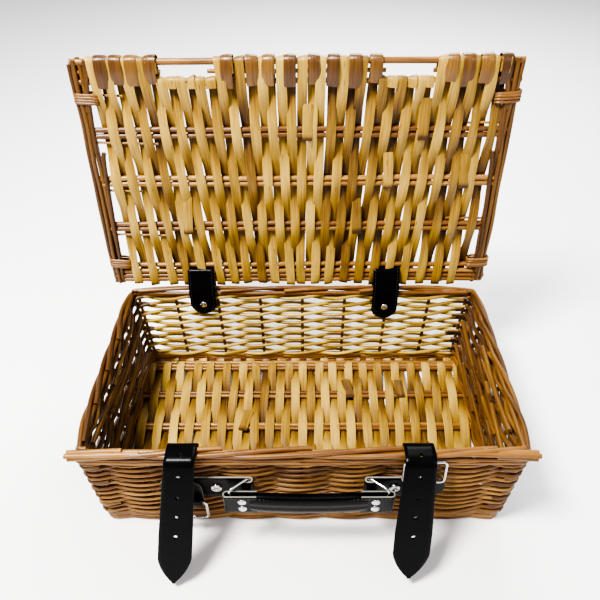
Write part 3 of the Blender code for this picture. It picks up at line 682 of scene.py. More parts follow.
def woven(stations: Sequence[float], heights: Sequence[float], steps: int) -> tuple[np.ndarray, np.ndarray]:
    """Where a strand runs between crossings, easing from one height to the next.

    Args:
        stations: The place of each crossing along the strand.
        heights: The strand's height at each crossing.
        steps: Points from one crossing to the next.

    Returns:
        The places along the strand and the heights there.
    """
    along, up = [], []
    for i in range(len(stations) - 1):
        share = np.arange(steps) / steps
        ease = (1.0 - np.cos(np.pi * share)) / 2.0
        along.append(stations[i] + (stations[i + 1] - stations[i]) * share)
        up.append(heights[i] + (heights[i + 1] - heights[i]) * ease)
    return np.append(np.concatenate(along), stations[-1]), np.append(np.concatenate(up), heights[-1])


def hook(centre: float, radius: float, side: float, steps: int = 7) -> list[tuple[float, float]]:
    """A half turn over the rod at centre, from one face (side) to the other, as (along, up) points."""
    turns = np.linspace(math.pi / 2, -math.pi / 2, steps)
    return [(centre + radius * math.cos(t), side * radius * math.sin(t)) for t in turns]


def wobble(length: int, size: float, draw: random.Random, waves: float = 2.0) -> np.ndarray:
    """A slow random sideways drift for a strand of this many points."""
    share = np.linspace(0.0, 1.0, length)
    drift = np.zeros(length)
    for order in range(1, 4):
        phase = draw.uniform(0.0, 2.0 * math.pi)
        drift += np.sin(share * waves * order * math.pi + phase) * size / order * draw.uniform(0.3, 1.0)
    return drift


# ---------------------------------------------------------------- the workshop


class Workshop:
    """Makes pieces with the shared trees and gives them their finishes."""

    def __init__(self) -> None:
        """Builds the shared Geometry Nodes trees."""
        self.sweep = sweep_tree()
        self.rivets = rivet_tree()
        self.stitches = stitch_tree()

    def strands(
        self,
        name: str,
        strands: Sequence[Strand],
        finish: Finish,
        width: float,
        thickness: float,
        place: Matrix | None = None,
        sides: int = 8,
        seed: int = 1,
        closed: bool = False,
    ) -> bpy.types.Object:
        """Sweeps strands into one piece.

        Args:
            name: The piece's name.
            strands: The strands, in the panel's own frame.
            finish: The finish.
            width: The section's width.
            thickness: The section's thickness.
            place: The panel's frame, if it isn't the row's.
            sides: Sides of the section.
            seed: Seed for the strands' tones.
            closed: Whether the strands join up.

        Returns:
            The piece, with its place in its mesh.
        """
        made = self.sweep.run(
            name,
            curve_of(name + "_lines", strands, closed),
            Width=width,
            Thickness=thickness,
            Sides=sides,
            Seed=seed,
            Material=finish.material(),
        )
        if place is not None:
            made.data.transform(place)
        return made

    def heads(
        self, name: str, places: Sequence[Point], facing: Point, radius: float, finish: Finish, dome: float = 0.4
    ) -> bpy.types.Object:
        """Domed rivet heads at these places, all facing one way."""
        mesh = bpy.data.meshes.new(name + "_points")
        mesh.from_pydata([tuple(p) for p in places], [], [])
        facings = mesh.attributes.new("facing", "FLOAT_VECTOR", "POINT")
        facings.data.foreach_set("vector", list(facing) * len(places))
        source = bpy.data.objects.new(name + "_points", mesh)
        bpy.context.scene.collection.objects.link(source)
        made = self.rivets.run(name, source, Radius=radius, Dome=dome, Material=finish.material())
        return made

    @staticmethod
    def join(name: str, pieces: Sequence[bpy.types.Object]) -> bpy.types.Object:
        """Joins pieces that share a body into one, keeping their materials."""
        with bpy.context.temp_override(
            active_object=pieces[0], object=pieces[0], selected_objects=pieces, selected_editable_objects=pieces
        ):
            bpy.ops.object.join()
        pieces[0].name = name
        pieces[0].data.name = name
        return pieces[0]


def settle(piece: bpy.types.Object, body: str, *nodes: str) -> bpy.types.Object:
    """Fixes a piece to its body, in place of these CAD nodes, and reports it."""
    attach(piece, body)
    if nodes:
        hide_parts(*nodes)
    LOG.info("%s rides on %s", piece.name, body)
    return piece


# ---------------------------------------------------------------- leather


class Path:
    """A line in a plane, with its corners rounded, that a flat strip is bent along."""

    def __init__(self, corners: Sequence[tuple[float, float]], radius: float) -> None:
        """Rounds the corners.

        Args:
            corners: The line's corners, in the plane.
            radius: The bend radius at each corner, as far as its legs allow.
        """
        spots = [np.array(c, float) for c in corners]
        line = [spots[0]]
        for before, here, after in zip(spots, spots[1:], spots[2:]):
            a, b = before - here, after - here
            la, lb = np.linalg.norm(a), np.linalg.norm(b)
            a, b = a / la, b / lb
            half = math.acos(float(np.clip(a @ b, -1.0, 1.0))) / 2.0
            cut = min(radius / math.tan(half), la * 0.48, lb * 0.48)
            for share in np.linspace(0.0, 1.0, 9):
                line.append(
                    (1 - share) ** 2 * (here + a * cut) + 2 * share * (1 - share) * here + share**2 * (here + b * cut)
                )
        line.append(spots[-1])
        self.line = np.array(line)
        steps = np.linalg.norm(np.diff(self.line, axis=0), axis=1)
        self.stations = np.append(0.0, np.cumsum(steps))
        self.length = float(self.stations[-1])

    def at(self, s: np.ndarray) -> tuple[np.ndarray, np.ndarray]:
        """Points at these distances along, and the unit tangents there."""
        place = np.c_[[np.interp(s, self.stations, self.line[:, k]) for k in (0, 1)]].T
        near, far = s - 0.0008, s + 0.0008
        a = np.c_[[np.interp(near, self.stations, self.line[:, k]) for k in (0, 1)]].T
        b = np.c_[[np.interp(far, self.stations, self.line[:, k]) for k in (0, 1)]].T
        tangent = b - a
        tangent /= np.maximum(np.linalg.norm(tangent, axis=1), 1e-9)[:, None]
        over = np.maximum(s - self.length, 0.0) + np.minimum(s, 0.0)
        return place + tangent * over[:, None], tangent


@dataclass
class Strip:
    """A strip of leather, cut flat: x across, y along and z its thickness, face side up."""

    name: str
    length: float
    thickness: float
    half_width: Callable[[float], float]
    pitch: float = 0.0025
    holes: list[tuple[float, float, float]] = field(default_factory=list)
    ridge: Callable[[float, float], float] | None = None
    raw: float = 0.0

    def build(self) -> bpy.types.Object:
        """Lofts the strip, eases its edges, marks its raw edge and punches its holes.

        Returns:
            The flat piece.
        """
        ease = min(0.0005, self.thickness * 0.3)
        rows = max(3, int(self.length / self.pitch))
        columns = 8
        shape = bmesh.new()
        raw = shape.verts.layers.float.new("raw")
        rings = []
        for i in range(rows + 1):
            y = self.length * i / rows
            half = max(self.half_width(y), 0.0004)
            inner = max(half - ease, half * 0.5)
            xs = np.linspace(-inner, inner, columns + 1)
            top = [(x, y, self.thickness / 2 + (self.ridge(x, y) if self.ridge else 0.0)) for x in xs]
            low = [(x, y, -self.thickness / 2) for x in xs[::-1]]
            side = self.thickness / 2 - ease
            ring = top + [(half, y, side), (half, y, -side)] + low + [(-half, y, -side), (-half, y, side)]
            verts = [shape.verts.new(p) for p in ring]
            for v in verts:
                v[raw] = self.raw if abs(v.co.x) > inner + 1e-7 else 0.0
            rings.append(verts)
        count = len(rings[0])
        for a, b in zip(rings, rings[1:]):
            for k in range(count):
                shape.faces.new((a[k], a[(k + 1) % count], b[(k + 1) % count], b[k]))
        shape.faces.new(rings[0][::-1])
        shape.faces.new(rings[-1])
        bmesh.ops.recalc_face_normals(shape, faces=shape.faces)
        mesh = bpy.data.meshes.new(self.name)
        shape.to_mesh(mesh)
        shape.free()
        made = bpy.data.objects.new(self.name, mesh)
        bpy.context.scene.collection.objects.link(made)
        for x, y, radius in self.holes:
            self._punch(made, x, y, radius)
        return made

    def _punch(self, strip: bpy.types.Object, x: float, y: float, radius: float) -> None:
        """Cuts one round hole."""
        shape = bmesh.new()
        bmesh.ops.create_cone(
            shape, cap_ends=True, segments=24, radius1=radius, radius2=radius, depth=self.thickness * 6,
            matrix=Matrix.Translation((x, y, 0)),
        )
        mesh = bpy.data.meshes.new("punch")
        shape.to_mesh(mesh)
        shape.free()
        cutter = bpy.data.objects.new("punch", mesh)
        bpy.context.scene.collection.objects.link(cutter)
        modifier = strip.modifiers.new("punch", "BOOLEAN")
        modifier.operation = "DIFFERENCE"
        modifier.object = cutter
        bake(strip)
        bpy.data.objects.remove(cutter)

    def seam(self, inset: float, start: float, stop: float, height: float, steps: int = 60) -> list[Strand]:
        """Stitch lines along both edges of the face, an inset away from them."""
        ys = np.linspace(start, stop, steps)
        lines = []
        for side in (-1.0, 1.0):
            lines.append(Strand.of([(side * max(self.half_width(y) - inset, 0.0), y, height) for y in ys]))
        return lines


def bake(piece: bpy.types.Object) -> None:
    """Replaces a piece's mesh with what its modifiers make, and drops them."""
    bpy.context.view_layer.update()
    graph = bpy.context.evaluated_depsgraph_get()
    mesh = bpy.data.meshes.new_from_object(piece.evaluated_get(graph))
    piece.modifiers.clear()
    piece.data = mesh


def bend(
    piece: bpy.types.Object, path: Path, place: Matrix, slide: Callable[[np.ndarray], np.ndarray] | None = None
) -> None:
    """Bends a flat piece along a path.

    Args:
        piece: The flat piece, x across, y along and z up.
        path: The path, in the plane of the place's second and third axes.
        place: The frame: first axis across the strip, and the path's plane in the other two.
        slide: An extra shift across, by distance along.
    """
    mesh = piece.data
    flat = np.empty(len(mesh.vertices) * 3)
    mesh.vertices.foreach_get("co", flat)
    flat = flat.reshape(-1, 3)
    spots, tangents = path.at(flat[:, 1])
    normals = np.c_[-tangents[:, 1], tangents[:, 0]]
    across = flat[:, 0] + (slide(flat[:, 1]) if slide else 0.0)
    plane = spots + normals * flat[:, 2:3]
    bent = np.c_[across, plane]
    mesh.vertices.foreach_set("co", bent.ravel())
    mesh.transform(place)
    mesh.update()


def dress(piece: bpy.types.Object, finish: Finish, angle: float = 40.0) -> bpy.types.Object:
    """Gives a piece its finish and smooth shading, with edges sharper than angle kept."""
    piece.data.materials.clear()
    piece.data.materials.append(finish.material())
    piece.data.shade_smooth()
    piece.data.set_sharp_from_angle(angle=math.radians(angle))
    return piece


def frame_of(across: Point, first: Point, second: Point, origin: Point = (0.0, 0.0, 0.0)) -> Matrix:
    """A frame whose columns are these axes and origin."""
    made = Matrix((across, first, second)).transposed().to_4x4()
    made.translation = Vector(origin)
    return made


# ---------------------------------------------------------------- the lid


@dataclass
class Lid:
    """The woven lid: split willow slats over rod pairs, bundled sides and bound corners."""

    shop: Workshop
    frame: dict
    slat_count: int = 44
    slat_width: float = 0.0097
    slat_thickness: float = 0.0014
    rod_radius: float = 0.0028
    pair_half: float = 0.0030
    border_radius: float = 0.0031
    fold_length: float = 0.021
    lean: float = 0.0085
    seed: int = 7

    def __post_init__(self) -> None:
        """Reads the lid's frame from its joint and its CAD nodes."""
        joint = next(j for j in self.frame["joints"] if j["name"] == "lid_hinge")
        low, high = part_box("lid_weave")
        opened = math.radians(joint["range_deg"][1])
        centre = (low.x + high.x) / 2
        self.half = (high.x - low.x) / 2
        along = (0.0, -math.cos(opened), math.sin(opened))
        facing = (0.0, -math.sin(opened), -math.cos(opened))
        self.hinge = (centre, joint["pos_m"][1], joint["pos_m"][2])
        self.place = frame_of((1.0, 0.0, 0.0), along, facing, self.hinge)
        self.inverse = self.place.inverted()
        self.draw = random.Random(self.seed)
        self.reach = self.station("lid_front_rod_outer")
        self.inner = self.station("lid_front_rod_inner")
        self.pairs = [self.station(f"lid_cross_rod_pair_{i}") for i in (1, 2, 3)]
        self.back = self.station("lid_back_rod_pair")
        self.outer_half = (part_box("lid_front_rod_outer")[1].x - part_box("lid_front_rod_outer")[0].x) / 2
        self.slots = [sign * self.shift("strap_anchor_left") for sign in (1.0, -1.0)]

    def station(self, node: str) -> float:
        """How far a CAD node's middle lies from the hinge line, along the lid."""
        low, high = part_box(node)
        return (self.inverse @ ((low + high) / 2)).y

    def shift(self, node: str) -> float:
        """How far to the side a CAD node's middle lies."""
        low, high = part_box(node)
        return (low.x + high.x) / 2

    def slotted(self, x: float, half_slot: float = 0.0250) -> bool:
        """Whether a strap's slot stands at this place across the lid."""
        return any(abs(x - s) < half_slot for s in self.slots)

    def rods(self) -> None:
        """The rods that the slats are woven round, with their cut ends past the side bundles."""
        radius = self.rod_radius
        draw = self.draw
        half = self.pair_half
        for label, stations, node, finish in (
            ("lid_back_rods", (self.back - 0.0080, self.back - half, self.back + half), "lid_back_rod_pair", Finish.ROD),
            ("lid_hinge_side_rod", (self.back + 0.0112,), None, Finish.ROD),
            (
                "lid_cross_rods_lower", (self.pairs[0] - half, self.pairs[0] + half), "lid_cross_rod_pair_1", Finish.ROD
            ),
            ("lid_cross_rods_middle", (self.pairs[1] - half, self.pairs[1] + half), "lid_cross_rod_pair_2", Finish.ROD),
            (
                "lid_cross_rods_upper", (self.pairs[2] - half, self.pairs[2] + half), "lid_cross_rod_pair_3", Finish.ROD
            ),
            ("lid_border_rod", (self.inner,), "lid_front_rod_inner", Finish.ROD),
        ):
            strands = []
            border = "border" in label or "back" in label or "hinge" in label
            for d in stations:
                out = self.outer_half - (0.0 if border else 0.006)
                xs = np.linspace(-out + draw.uniform(-0.002, 0.002), out + draw.uniform(-0.002, 0.002), 60)
                ups = wobble(60, 0.00025, draw, 9.0)
                strands.append(Strand.of(np.c_[xs, d + wobble(60, 0.0005, draw, 3.0), ups], draw.uniform(0.92, 1.05)))
            piece = self.shop.strands(
                label, strands, finish, radius * 2, radius * 2, self.place, 10, draw.randint(1, 99)
            )
            settle(piece, "lid", *([node] if node else []))
        window = 0.0215
        stops = (-self.outer_half, self.slots[0] - window, self.slots[0] + window, self.slots[1] - window,
                 self.slots[1] + window, self.outer_half) if self.slots[0] < self.slots[1] else (
                 -self.outer_half, self.slots[1] - window, self.slots[1] + window, self.slots[0] - window,
                 self.slots[0] + window, self.outer_half)
        between = [
            Strand.of(
                np.c_[np.linspace(a, b, 20), (self.inner + self.reach) / 2 + wobble(20, 0.0004, draw), np.zeros(20)]
            )
            for a, b in zip(stops[::2], stops[1::2])
        ]
        settle(
            self.shop.strands("lid_border_middle_rods", between, Finish.ROD, 0.0042, 0.0042, self.place, 10, 6), "lid"
        )
        xs = np.linspace(-self.outer_half, self.outer_half, 50)
        outer = Strand.of(np.c_[xs, self.reach + wobble(50, 0.0003, draw), np.zeros(50)])
        size = self.border_radius * 2
        piece = self.shop.strands("lid_outer_rod", [outer], Finish.ROD, size, size, self.place, 14, 5)
        settle(piece, "lid", "lid_front_rod_outer")

    def short_wefts(self) -> None:
        """Thin rods laid in from one side, which end among the slats."""
        strands = []
        draw = self.draw
        for pair, reach in (
            (self.pairs[2], 0.34), (self.pairs[1], 0.22), (self.pairs[0], 0.33), (self.inner - 0.002, 0.2)
        ):
            start = -self.outer_half + 0.004
            stop = start + reach * self.half
            xs = np.linspace(start, stop, 26)
            drop = -0.0092 - 0.002 * np.linspace(0, 1, 26)
            strands.append(Strand.of(np.c_[xs, pair + drop, wobble(26, 0.0005, draw, 5.0)], 1.0, 0.5))
        for pair, reach in ((self.pairs[2], 0.2), (self.pairs[0], 0.24)):
            start = self.outer_half - 0.004
            xs = np.linspace(start, start - reach * self.half, 20)
            strands.append(Strand.of(np.c_[xs, pair + 0.0085 + 0 * xs, wobble(20, 0.0005, draw, 5.0)], 1.0, 0.5))
        settle(self.shop.strands("lid_short_wefts", strands, Finish.ROD, 0.0026, 0.0026, self.place, 8, 11), "lid")

    def slats(self) -> None:
        """The split willow slats, woven over and under the rods and hooked round the end rods."""
        draw = self.draw
        gold: list[Strand] = []
        folds: list[Strand] = []
        rise = self.rod_radius + self.slat_thickness * 0.62
        edge = self.border_radius + self.slat_thickness * 0.62
        usable = self.half - 0.003
        for i in range(self.slat_count):
            side = 1.0 if i % 2 else -1.0
            share = (i + 0.5) / self.slat_count * 2.0 - 1.0
            base = share * (usable - 0.004) + draw.uniform(-0.0010, 0.0010)
            lean = -self.lean * math.sin(share * math.pi * 0.9) + draw.uniform(-0.0016, 0.0016)
            short = self.slotted(base - lean)
            end = self.inner if short else self.reach
            around = rise if short else edge
            foot = self.back - 0.0125 + draw.uniform(-0.0015, 0.0015)
            stations = [foot, self.back, self.back + 0.0112, *self.pairs, self.inner - 0.0030]
            heights = [-side * rise * k for k in (0.8, 1.0, 1.0, -1.0, 1.0, -1.0, 1.0)]
            along, up = woven(stations, heights, 7)
            points = list(zip(along, up))
            points += hook(end, around, -side if not short else -side, 7)
            tail = end - (0.006 if short else 0.010)
            points += [(tail + 0.003, side * around), (tail, side * rise)]
            line = np.array(points)
            progress = np.clip(line[:, 0] / self.reach, 0.0, 1.0)
            xs = base - lean * (progress * 2.0 - 1.0) + wobble(len(line), 0.0006, draw, 1.5)
            size = self.slat_width * draw.uniform(0.90, 1.08)
            strand = Strand.of(np.c_[xs, line], size / self.slat_width, 0.0, draw.uniform(-0.25, 0.25))
            # Narrowed foot, and wider over a rod and narrower under one; these widths also set the painted shade in the
            # slat's colour, darker where narrow and lighter where wide.
            strand.widths[:4] *= (0.30, 0.72, 0.92, 1.0)
            strand.widths = strand.widths * (1.0 + 0.16 * np.clip(line[:, 1] / rise, -1.0, 1.0))
            strand.tilts = strand.tilts + draw.choice((-1.0, 1.0)) * 0.28 * np.sin(
                progress * math.pi * 8.0 + draw.uniform(0, 6)
            )
            gold.append(strand)
            if not short and side > 0:
                folds.append(self.fold(float(xs[-8]), end, edge, draw))
        self.cut_ends(gold, draw)
        piece = self.shop.strands(
            "lid_slats", gold, Finish.SLAT, self.slat_width, self.slat_thickness, self.place, 8, 3
        )
        settle(piece, "lid", "lid_weave")
        piece = self.shop.strands(
            "lid_border_folds", folds, Finish.FLAP, self.slat_width * 1.16, self.slat_thickness, self.place, 8, 8
        )
        settle(piece, "lid")

    def fold(self, x: float, end: float, around: float, draw: random.Random) -> Strand:
        """The bark-side flap where a slat comes over the outer rod and is folded down the face."""
        over = hook(end, around + self.slat_thickness * 1.05, -1.0, 9)
        down = self.fold_length * draw.uniform(0.85, 1.15)
        face = self.rod_radius + self.slat_thickness * 1.7
        points = [(end - 0.004, -around)] + over
        points += [(end - 0.006, face + 0.0008), (end - down * 0.6, face), (end - down, face - 0.0016)]
        line = np.array(points)
        sway = np.linspace(0.0, draw.uniform(-0.002, 0.002), len(line))
        return Strand.of(np.c_[x + sway, line], draw.uniform(0.9, 1.15), 0.25, draw.uniform(-0.2, 0.2))

    def cut_ends(self, gold: list[Strand], draw: random.Random) -> None:
        """Short joined-in slats whose pointed ends show on the face near the rods."""
        for pair, share in ((self.pairs[0], -0.60), (self.pairs[2], 0.05), (self.pairs[0], 0.32), (self.pairs[1], 0.47),
                            (self.pairs[1], 0.86), (self.pairs[2], 0.62)):
            length = draw.uniform(0.026, 0.036)
            ds = np.linspace(pair - 0.007, pair + length, 16)
            ups = self.rod_radius + self.slat_thickness * 1.5 - 0.0042 * np.linspace(0, 1, 16) ** 2
            xs = share * self.half + np.linspace(0, draw.uniform(-0.003, 0.003), 16)
            strand = Strand.of(np.c_[xs, ds, ups], 1.04)
            strand.widths[:3] *= (0.25, 0.62, 0.9)
            gold.append(strand)

    def sides(self) -> None:
        """A bundle of brown rods down each side, bound near both ends."""
        draw = self.draw
        for name, sign in (("left", -1.0), ("right", 1.0)):
            low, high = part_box(f"lid_side_bundle_{name}")
            middle = (low.x + high.x) / 2 - self.hinge[0]
            strands = []
            for dx, w, size in ((-0.0056, 0.0006, 1.0), (-0.0012, 0.0022, 1.12), (0.0033, 0.0010, 0.95),
                                (-0.0030, -0.0021, 1.0), (0.0016, -0.0023, 1.05)):
                ds = np.linspace(
                    -0.002 + draw.uniform(0, 0.004), self.reach + 0.001 + draw.uniform(-0.003, 0.003), 60
                )
                xs = middle + dx + wobble(60, 0.0009, draw, 2.6)
                ups = w + wobble(60, 0.0005, draw, 2.2)
                strands.append(Strand.of(np.c_[xs, ds, ups], size * draw.uniform(0.92, 1.08), 0.15))
            ds = np.linspace(0.150, 0.012, 30)
            xs = middle - sign * (0.010 - 0.006 * np.linspace(0, 1, 30) ** 0.5)
            strands.append(Strand.of(np.c_[xs, ds, 0.0026 + wobble(30, 0.0003, draw)], 0.8, 0.4))
            for out, foot, size in ((0.0088, 0.150, 1.0), (0.0125, 0.190, 0.9)):
                ds = np.linspace(self.reach + 0.002, foot, 24)
                xs = middle - sign * (0.003 + (out - 0.003) * np.linspace(1, 0, 24) ** 1.5)
                strands.append(Strand.of(np.c_[xs, ds, 0.0022 + wobble(24, 0.0003, draw)], size, 0.4))
            piece = self.shop.strands(
                f"lid_side_rods_{name}", strands, Finish.BARK, 0.0047, 0.0045, self.place, 10, 17
            )
            settle(piece, "lid", f"lid_side_bundle_{name}")
            turns = []
            for d in (0.0240, self.inner - 0.0150):
                for k in range(4):
                    turns.append(self.binding(middle - sign * 0.0040, d + 0.0027 * (k - 1.5), sign, draw))
            piece = self.shop.strands(
                f"lid_corner_bindings_{name}", turns, Finish.ROD, 0.0028, 0.0020, self.place, 8, 23, True
            )
            settle(piece, "lid")

    def binding(self, x: float, d: float, sign: float, draw: random.Random) -> Strand:
        """One turn of thin willow round a side bundle and the first slat."""
        half, deep, count = 0.0112, 0.0060, 32
        turns = np.linspace(0.0, 2 * math.pi, count, endpoint=False)
        xs = x + half * np.sign(np.cos(turns)) * np.abs(np.cos(turns)) ** 0.55
        ups = deep * np.sign(np.sin(turns)) * np.abs(np.sin(turns)) ** 0.6
        ups = np.where(ups > 0.0, ups * 0.78, ups)
        ds = d + 0.0012 * np.cos(turns) * sign + draw.uniform(-0.0004, 0.0004)
        return Strand.of(np.c_[xs, ds, ups], draw.uniform(0.9, 1.1))

    def build(self) -> None:
        """Makes the whole lid."""
        self.rods()
        self.short_wefts()
        self.slats()
        self.sides()


# ---------------------------------------------------------------- the basket


# side, name, rows, thickness, how far each pair opens, finish
WALL_WEAVES = (
    (0, "front", 12, 0.0038, 0.46, Finish.WEAVER),
    (1, "right", 8, 0.0047, 0.56, Finish.BARK),
    (2, "back", 8, 0.0041, 0.60, Finish.STRAW),
    (3, "left", 8, 0.0047, 0.56, Finish.BARK),
)
# share of the half width where it starts, out, up, how far it passes the corner
CORNER_TIPS = (
    (0.72, -0.0026, 0.0014, 0.0038),
    (0.80, 0.0004, 0.0022, 0.0024),
    (0.86, -0.0030, -0.0022, 0.0018),
)


@dataclass
class Basket:
    """The basket's woven floor, walls, corner stakes and laid-in rim."""

    shop: Workshop
    slat_count: int = 41
    slat_width: float = 0.0100
    slat_thickness: float = 0.0015
    rod_radius: float = 0.0024
    stake_radius: float = 0.0019
    low_row: float = 0.0175
    front_stakes: int = 8
    side_stakes: int = 5
    floor_lift: float = 0.0010
    back_rim_lift: float = 0.0018
    rim_rod_count: int = 5
    loose_stick_count: int = 18
    seed: int = 19

    def __post_init__(self) -> None:
        """Reads the body's sizes from the CAD nodes."""
        self.draw = random.Random(self.seed)
        low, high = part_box("rim_front")
        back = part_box("rim_back")[1]
        self.half_x = high.x
        self.half_y = back.y
        self.top = high.z
        self.rim_low = low.z
        self.rim_width = high.y - low.y
        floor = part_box("floor_weave")
        self.floor_half = (floor[1].x, floor[1].y)
        self.floor_mid = (floor[0].z + floor[1].z) / 2 + self.floor_lift
        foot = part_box("corner_stake_front_left")
        self.foot_x = -(foot[0].x + foot[1].x) / 2
        self.foot_y = -(foot[0].y + foot[1].y) / 2
        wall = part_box("wall_front")
        self.lean_y = (wall[1].y - wall[0].y - 0.008) / 2
        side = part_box("wall_left")
        self.lean_x = (side[1].x - side[0].x - 0.008) / 2
        self.middle_x = -(side[0].x + side[1].x) / 2
        self.middle_y = -(wall[0].y + wall[1].y) / 2

    def outline(self, z: float) -> tuple[float, float]:
        """Half the walls' middle line, across and deep, at this height."""
        share = z / self.rim_low * 2.0 - 1.0
        return self.middle_x + self.lean_x * share, self.middle_y + self.lean_y * share

    def around(self, z: float, s: np.ndarray) -> tuple[np.ndarray, np.ndarray]:
        """Points and outward normals on the walls' middle line, at places s round the basket."""
        return self.loop(*self.outline(z), s, 0.007)

    @staticmethod
    def loop(half_x: float, half_y: float, s: np.ndarray, corner: float) -> tuple[np.ndarray, np.ndarray]:
        """Points and outward normals on a rectangle with round corners.

        Args:
            half_x: Half its width.
            half_y: Half its depth.
            s: Places round it from 0 to 4, one for each side, from the front left corner.
            corner: The corners' radius.

        Returns:
            The points' x and y, and the normals' x and y.
        """
        corners = np.array(
            ((-half_x, -half_y), (half_x, -half_y), (half_x, half_y), (-half_x, half_y), (-half_x, -half_y))
        )
        wrapped = np.mod(s, 4.0)
        side = np.minimum(wrapped.astype(int), 3)
        share = (wrapped - side)[:, None]
        place = corners[side] * (1 - share) + corners[side + 1] * share
        inside = np.clip(np.abs(place), 0, np.array((half_x - corner, half_y - corner))) * np.sign(place)
        out = place - inside
        length = np.linalg.norm(out, axis=1)[:, None]
        straight = np.array(((0.0, -1.0), (1.0, 0.0), (0.0, 1.0), (-1.0, 0.0)))[side]
        normal = np.where(length > 1e-9, out / np.maximum(length, 1e-9), straight)
        return inside + normal * corner, normal

    def stations(self) -> np.ndarray:
        """The stakes' places round the basket, corners included."""
        found = []
        for side in range(4):
            count = self.front_stakes if side % 2 == 0 else self.side_stakes
            found += [side + k / count for k in range(count)]
        return np.array(found)

    def floor(self) -> None:
        """The floor's rods and slats."""
        draw = self.draw
        radius = self.rod_radius
        half_x, half_y = self.floor_half
        rows = []
        for i in range(1, 6):
            low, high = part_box(f"floor_rod_pair_{i}")
            middle = (low.y + high.y) / 2
            rows.append(middle)
            steps = (-0.0052, 0.0, 0.0052) if i == 5 else (-0.0026, 0.0026)
            if i == 1:
                steps = (-0.0052, 0.0, 0.0052)
            strands = []
            for step in steps:
                xs = np.linspace(-half_x - 0.003, half_x + 0.003, 60)
                ys = middle + step + wobble(60, 0.0005, draw, 3.0)
                strands.append(
                    Strand.of(np.c_[xs, ys, self.floor_mid + wobble(60, 0.0002, draw)], draw.uniform(0.93, 1.05))
                )
            piece = self.shop.strands(
                f"floor_rods_{i}", strands, Finish.ROD, radius * 2, radius * 2, None, 10, 30 + i
            )
            settle(piece, "basket", f"floor_rod_pair_{i}")
        slats = []
        rise = radius + self.slat_thickness * 0.62
        for i in range(self.slat_count):
            side = 1.0 if i % 2 else -1.0
            share = (i + 0.5) / self.slat_count * 2.0 - 1.0
            stations = [-half_y - 0.001, *rows, half_y + 0.001]
            heights = [side * rise * (-1.0) ** k for k in range(len(stations))]
            ys, ups = woven(stations, heights, 7)
            lean = 0.0075 * share + draw.uniform(-0.0025, 0.0025)
            xs = share * (half_x - 0.0005) + lean * (ys / half_y) + wobble(len(ys), 0.0006, draw, 1.5)
            strand = Strand.of(
                np.c_[xs, ys, self.floor_mid + ups], draw.uniform(0.88, 1.14), 0.2, draw.uniform(-0.46, 0.04)
            )
            # Wider over a rod and narrower under one; this width, with the tapered ends, also sets the painted shade in
            # the slat's colour, darker where narrow.
            strand.widths = strand.widths * (1.0 + 0.16 * ups / rise)
            way = draw.choice((-1.0, 1.0)) * 0.20
            strand.tilts = strand.tilts + way * np.sin(ys / half_y * 7.0 + draw.uniform(0, 6))
            slats.append(strand)
        for share, row in ((-0.36, 2), (0.30, 3), (0.62, 3)):
            start = rows[row] - 0.008
            ys = np.linspace(start, start + draw.uniform(0.022, 0.034) * (-1.0 if row == 4 else 1.0), 10)
            xs = share * half_x + np.linspace(0, draw.uniform(-0.006, 0.006), 10)
            extra = Strand.of(np.c_[xs, ys, np.full(10, self.floor_mid + rise + 0.0009)], 0.8)
            extra.widths[:2] *= (0.4, 0.8)
            slats.append(extra)
        piece = self.shop.strands(
            "floor_slats", slats, Finish.SLAT, self.slat_width, self.slat_thickness, None, 8, 41
        )
        settle(piece, "basket", "floor_weave")

    def stakes(self) -> None:
        """The upright stakes, and a thicker pair at each corner."""
        draw = self.draw
        strands, corners = [], []
        for s in self.stations():
            zs = np.linspace(0.002, self.rim_low + 0.004, 12)
            line = []
            for z in zs:
                place, _ = self.around(z, np.array([s]))
                line.append((place[0, 0], place[0, 1], z))
            if abs(s - round(s)) < 1e-6:
                inward = np.array(line)
                for step in (0.0, 0.0052):
                    moved = inward.copy()
                    moved[:, 0] -= np.sign(moved[:, 0]) * step
                    corners.append(Strand.of(moved, 1.15))
            else:
                strands.append(Strand.of(line, draw.uniform(0.9, 1.1)))
        size = self.stake_radius * 2
        piece = self.shop.strands("wall_stakes", strands, Finish.BARK, size, size, None, 8, 51)
        settle(piece, "basket")
        names = [f"corner_stake_{a}_{b}" for a in ("front", "back") for b in ("left", "right")]
        piece = self.shop.strands("corner_stakes", corners, Finish.BARK, size, size, None, 8, 52)
        settle(piece, "basket", *names)

    def round_strand(
        self, z: float, span: tuple[float, float], part: int, thick: float, size: float, spread: float
    ) -> Strand:
        """One weaver of a twisted pair, round part of the basket.

        Args:
            z: The row's height.
            span: Where it begins and ends, from 0 to 4 round the basket.
            part: A whole number that turns the pair's twist by a half turn each.
            thick: The weavers' thickness.
            size: Its own thickness as a share of that.
            spread: How far the pair opens between stakes, as a share of the thickness.

        Returns:
            The strand.
        """
        draw = self.draw
        marks = self.stations()
        marks = np.concatenate([marks + 4.0 * k for k in range(-1, 3)])
        s = np.linspace(*span, max(12, int((span[1] - span[0]) * 66)))
        angle = math.pi * (np.interp(s, marks, np.arange(len(marks))) + part)
        place, normal = self.around(z, s)
        reach = (self.stake_radius + thick * 0.40) * np.cos(angle) * (0.55 if z < self.low_row else 1.0)
        lift = thick * spread * np.sin(angle)
        ups = z + lift + wobble(len(s), 0.0008, draw, 6.0 * (span[1] - span[0]))
        return Strand.of(np.c_[place + normal * reach[:, None], np.maximum(ups, thick * 0.52)], size, 0.3)

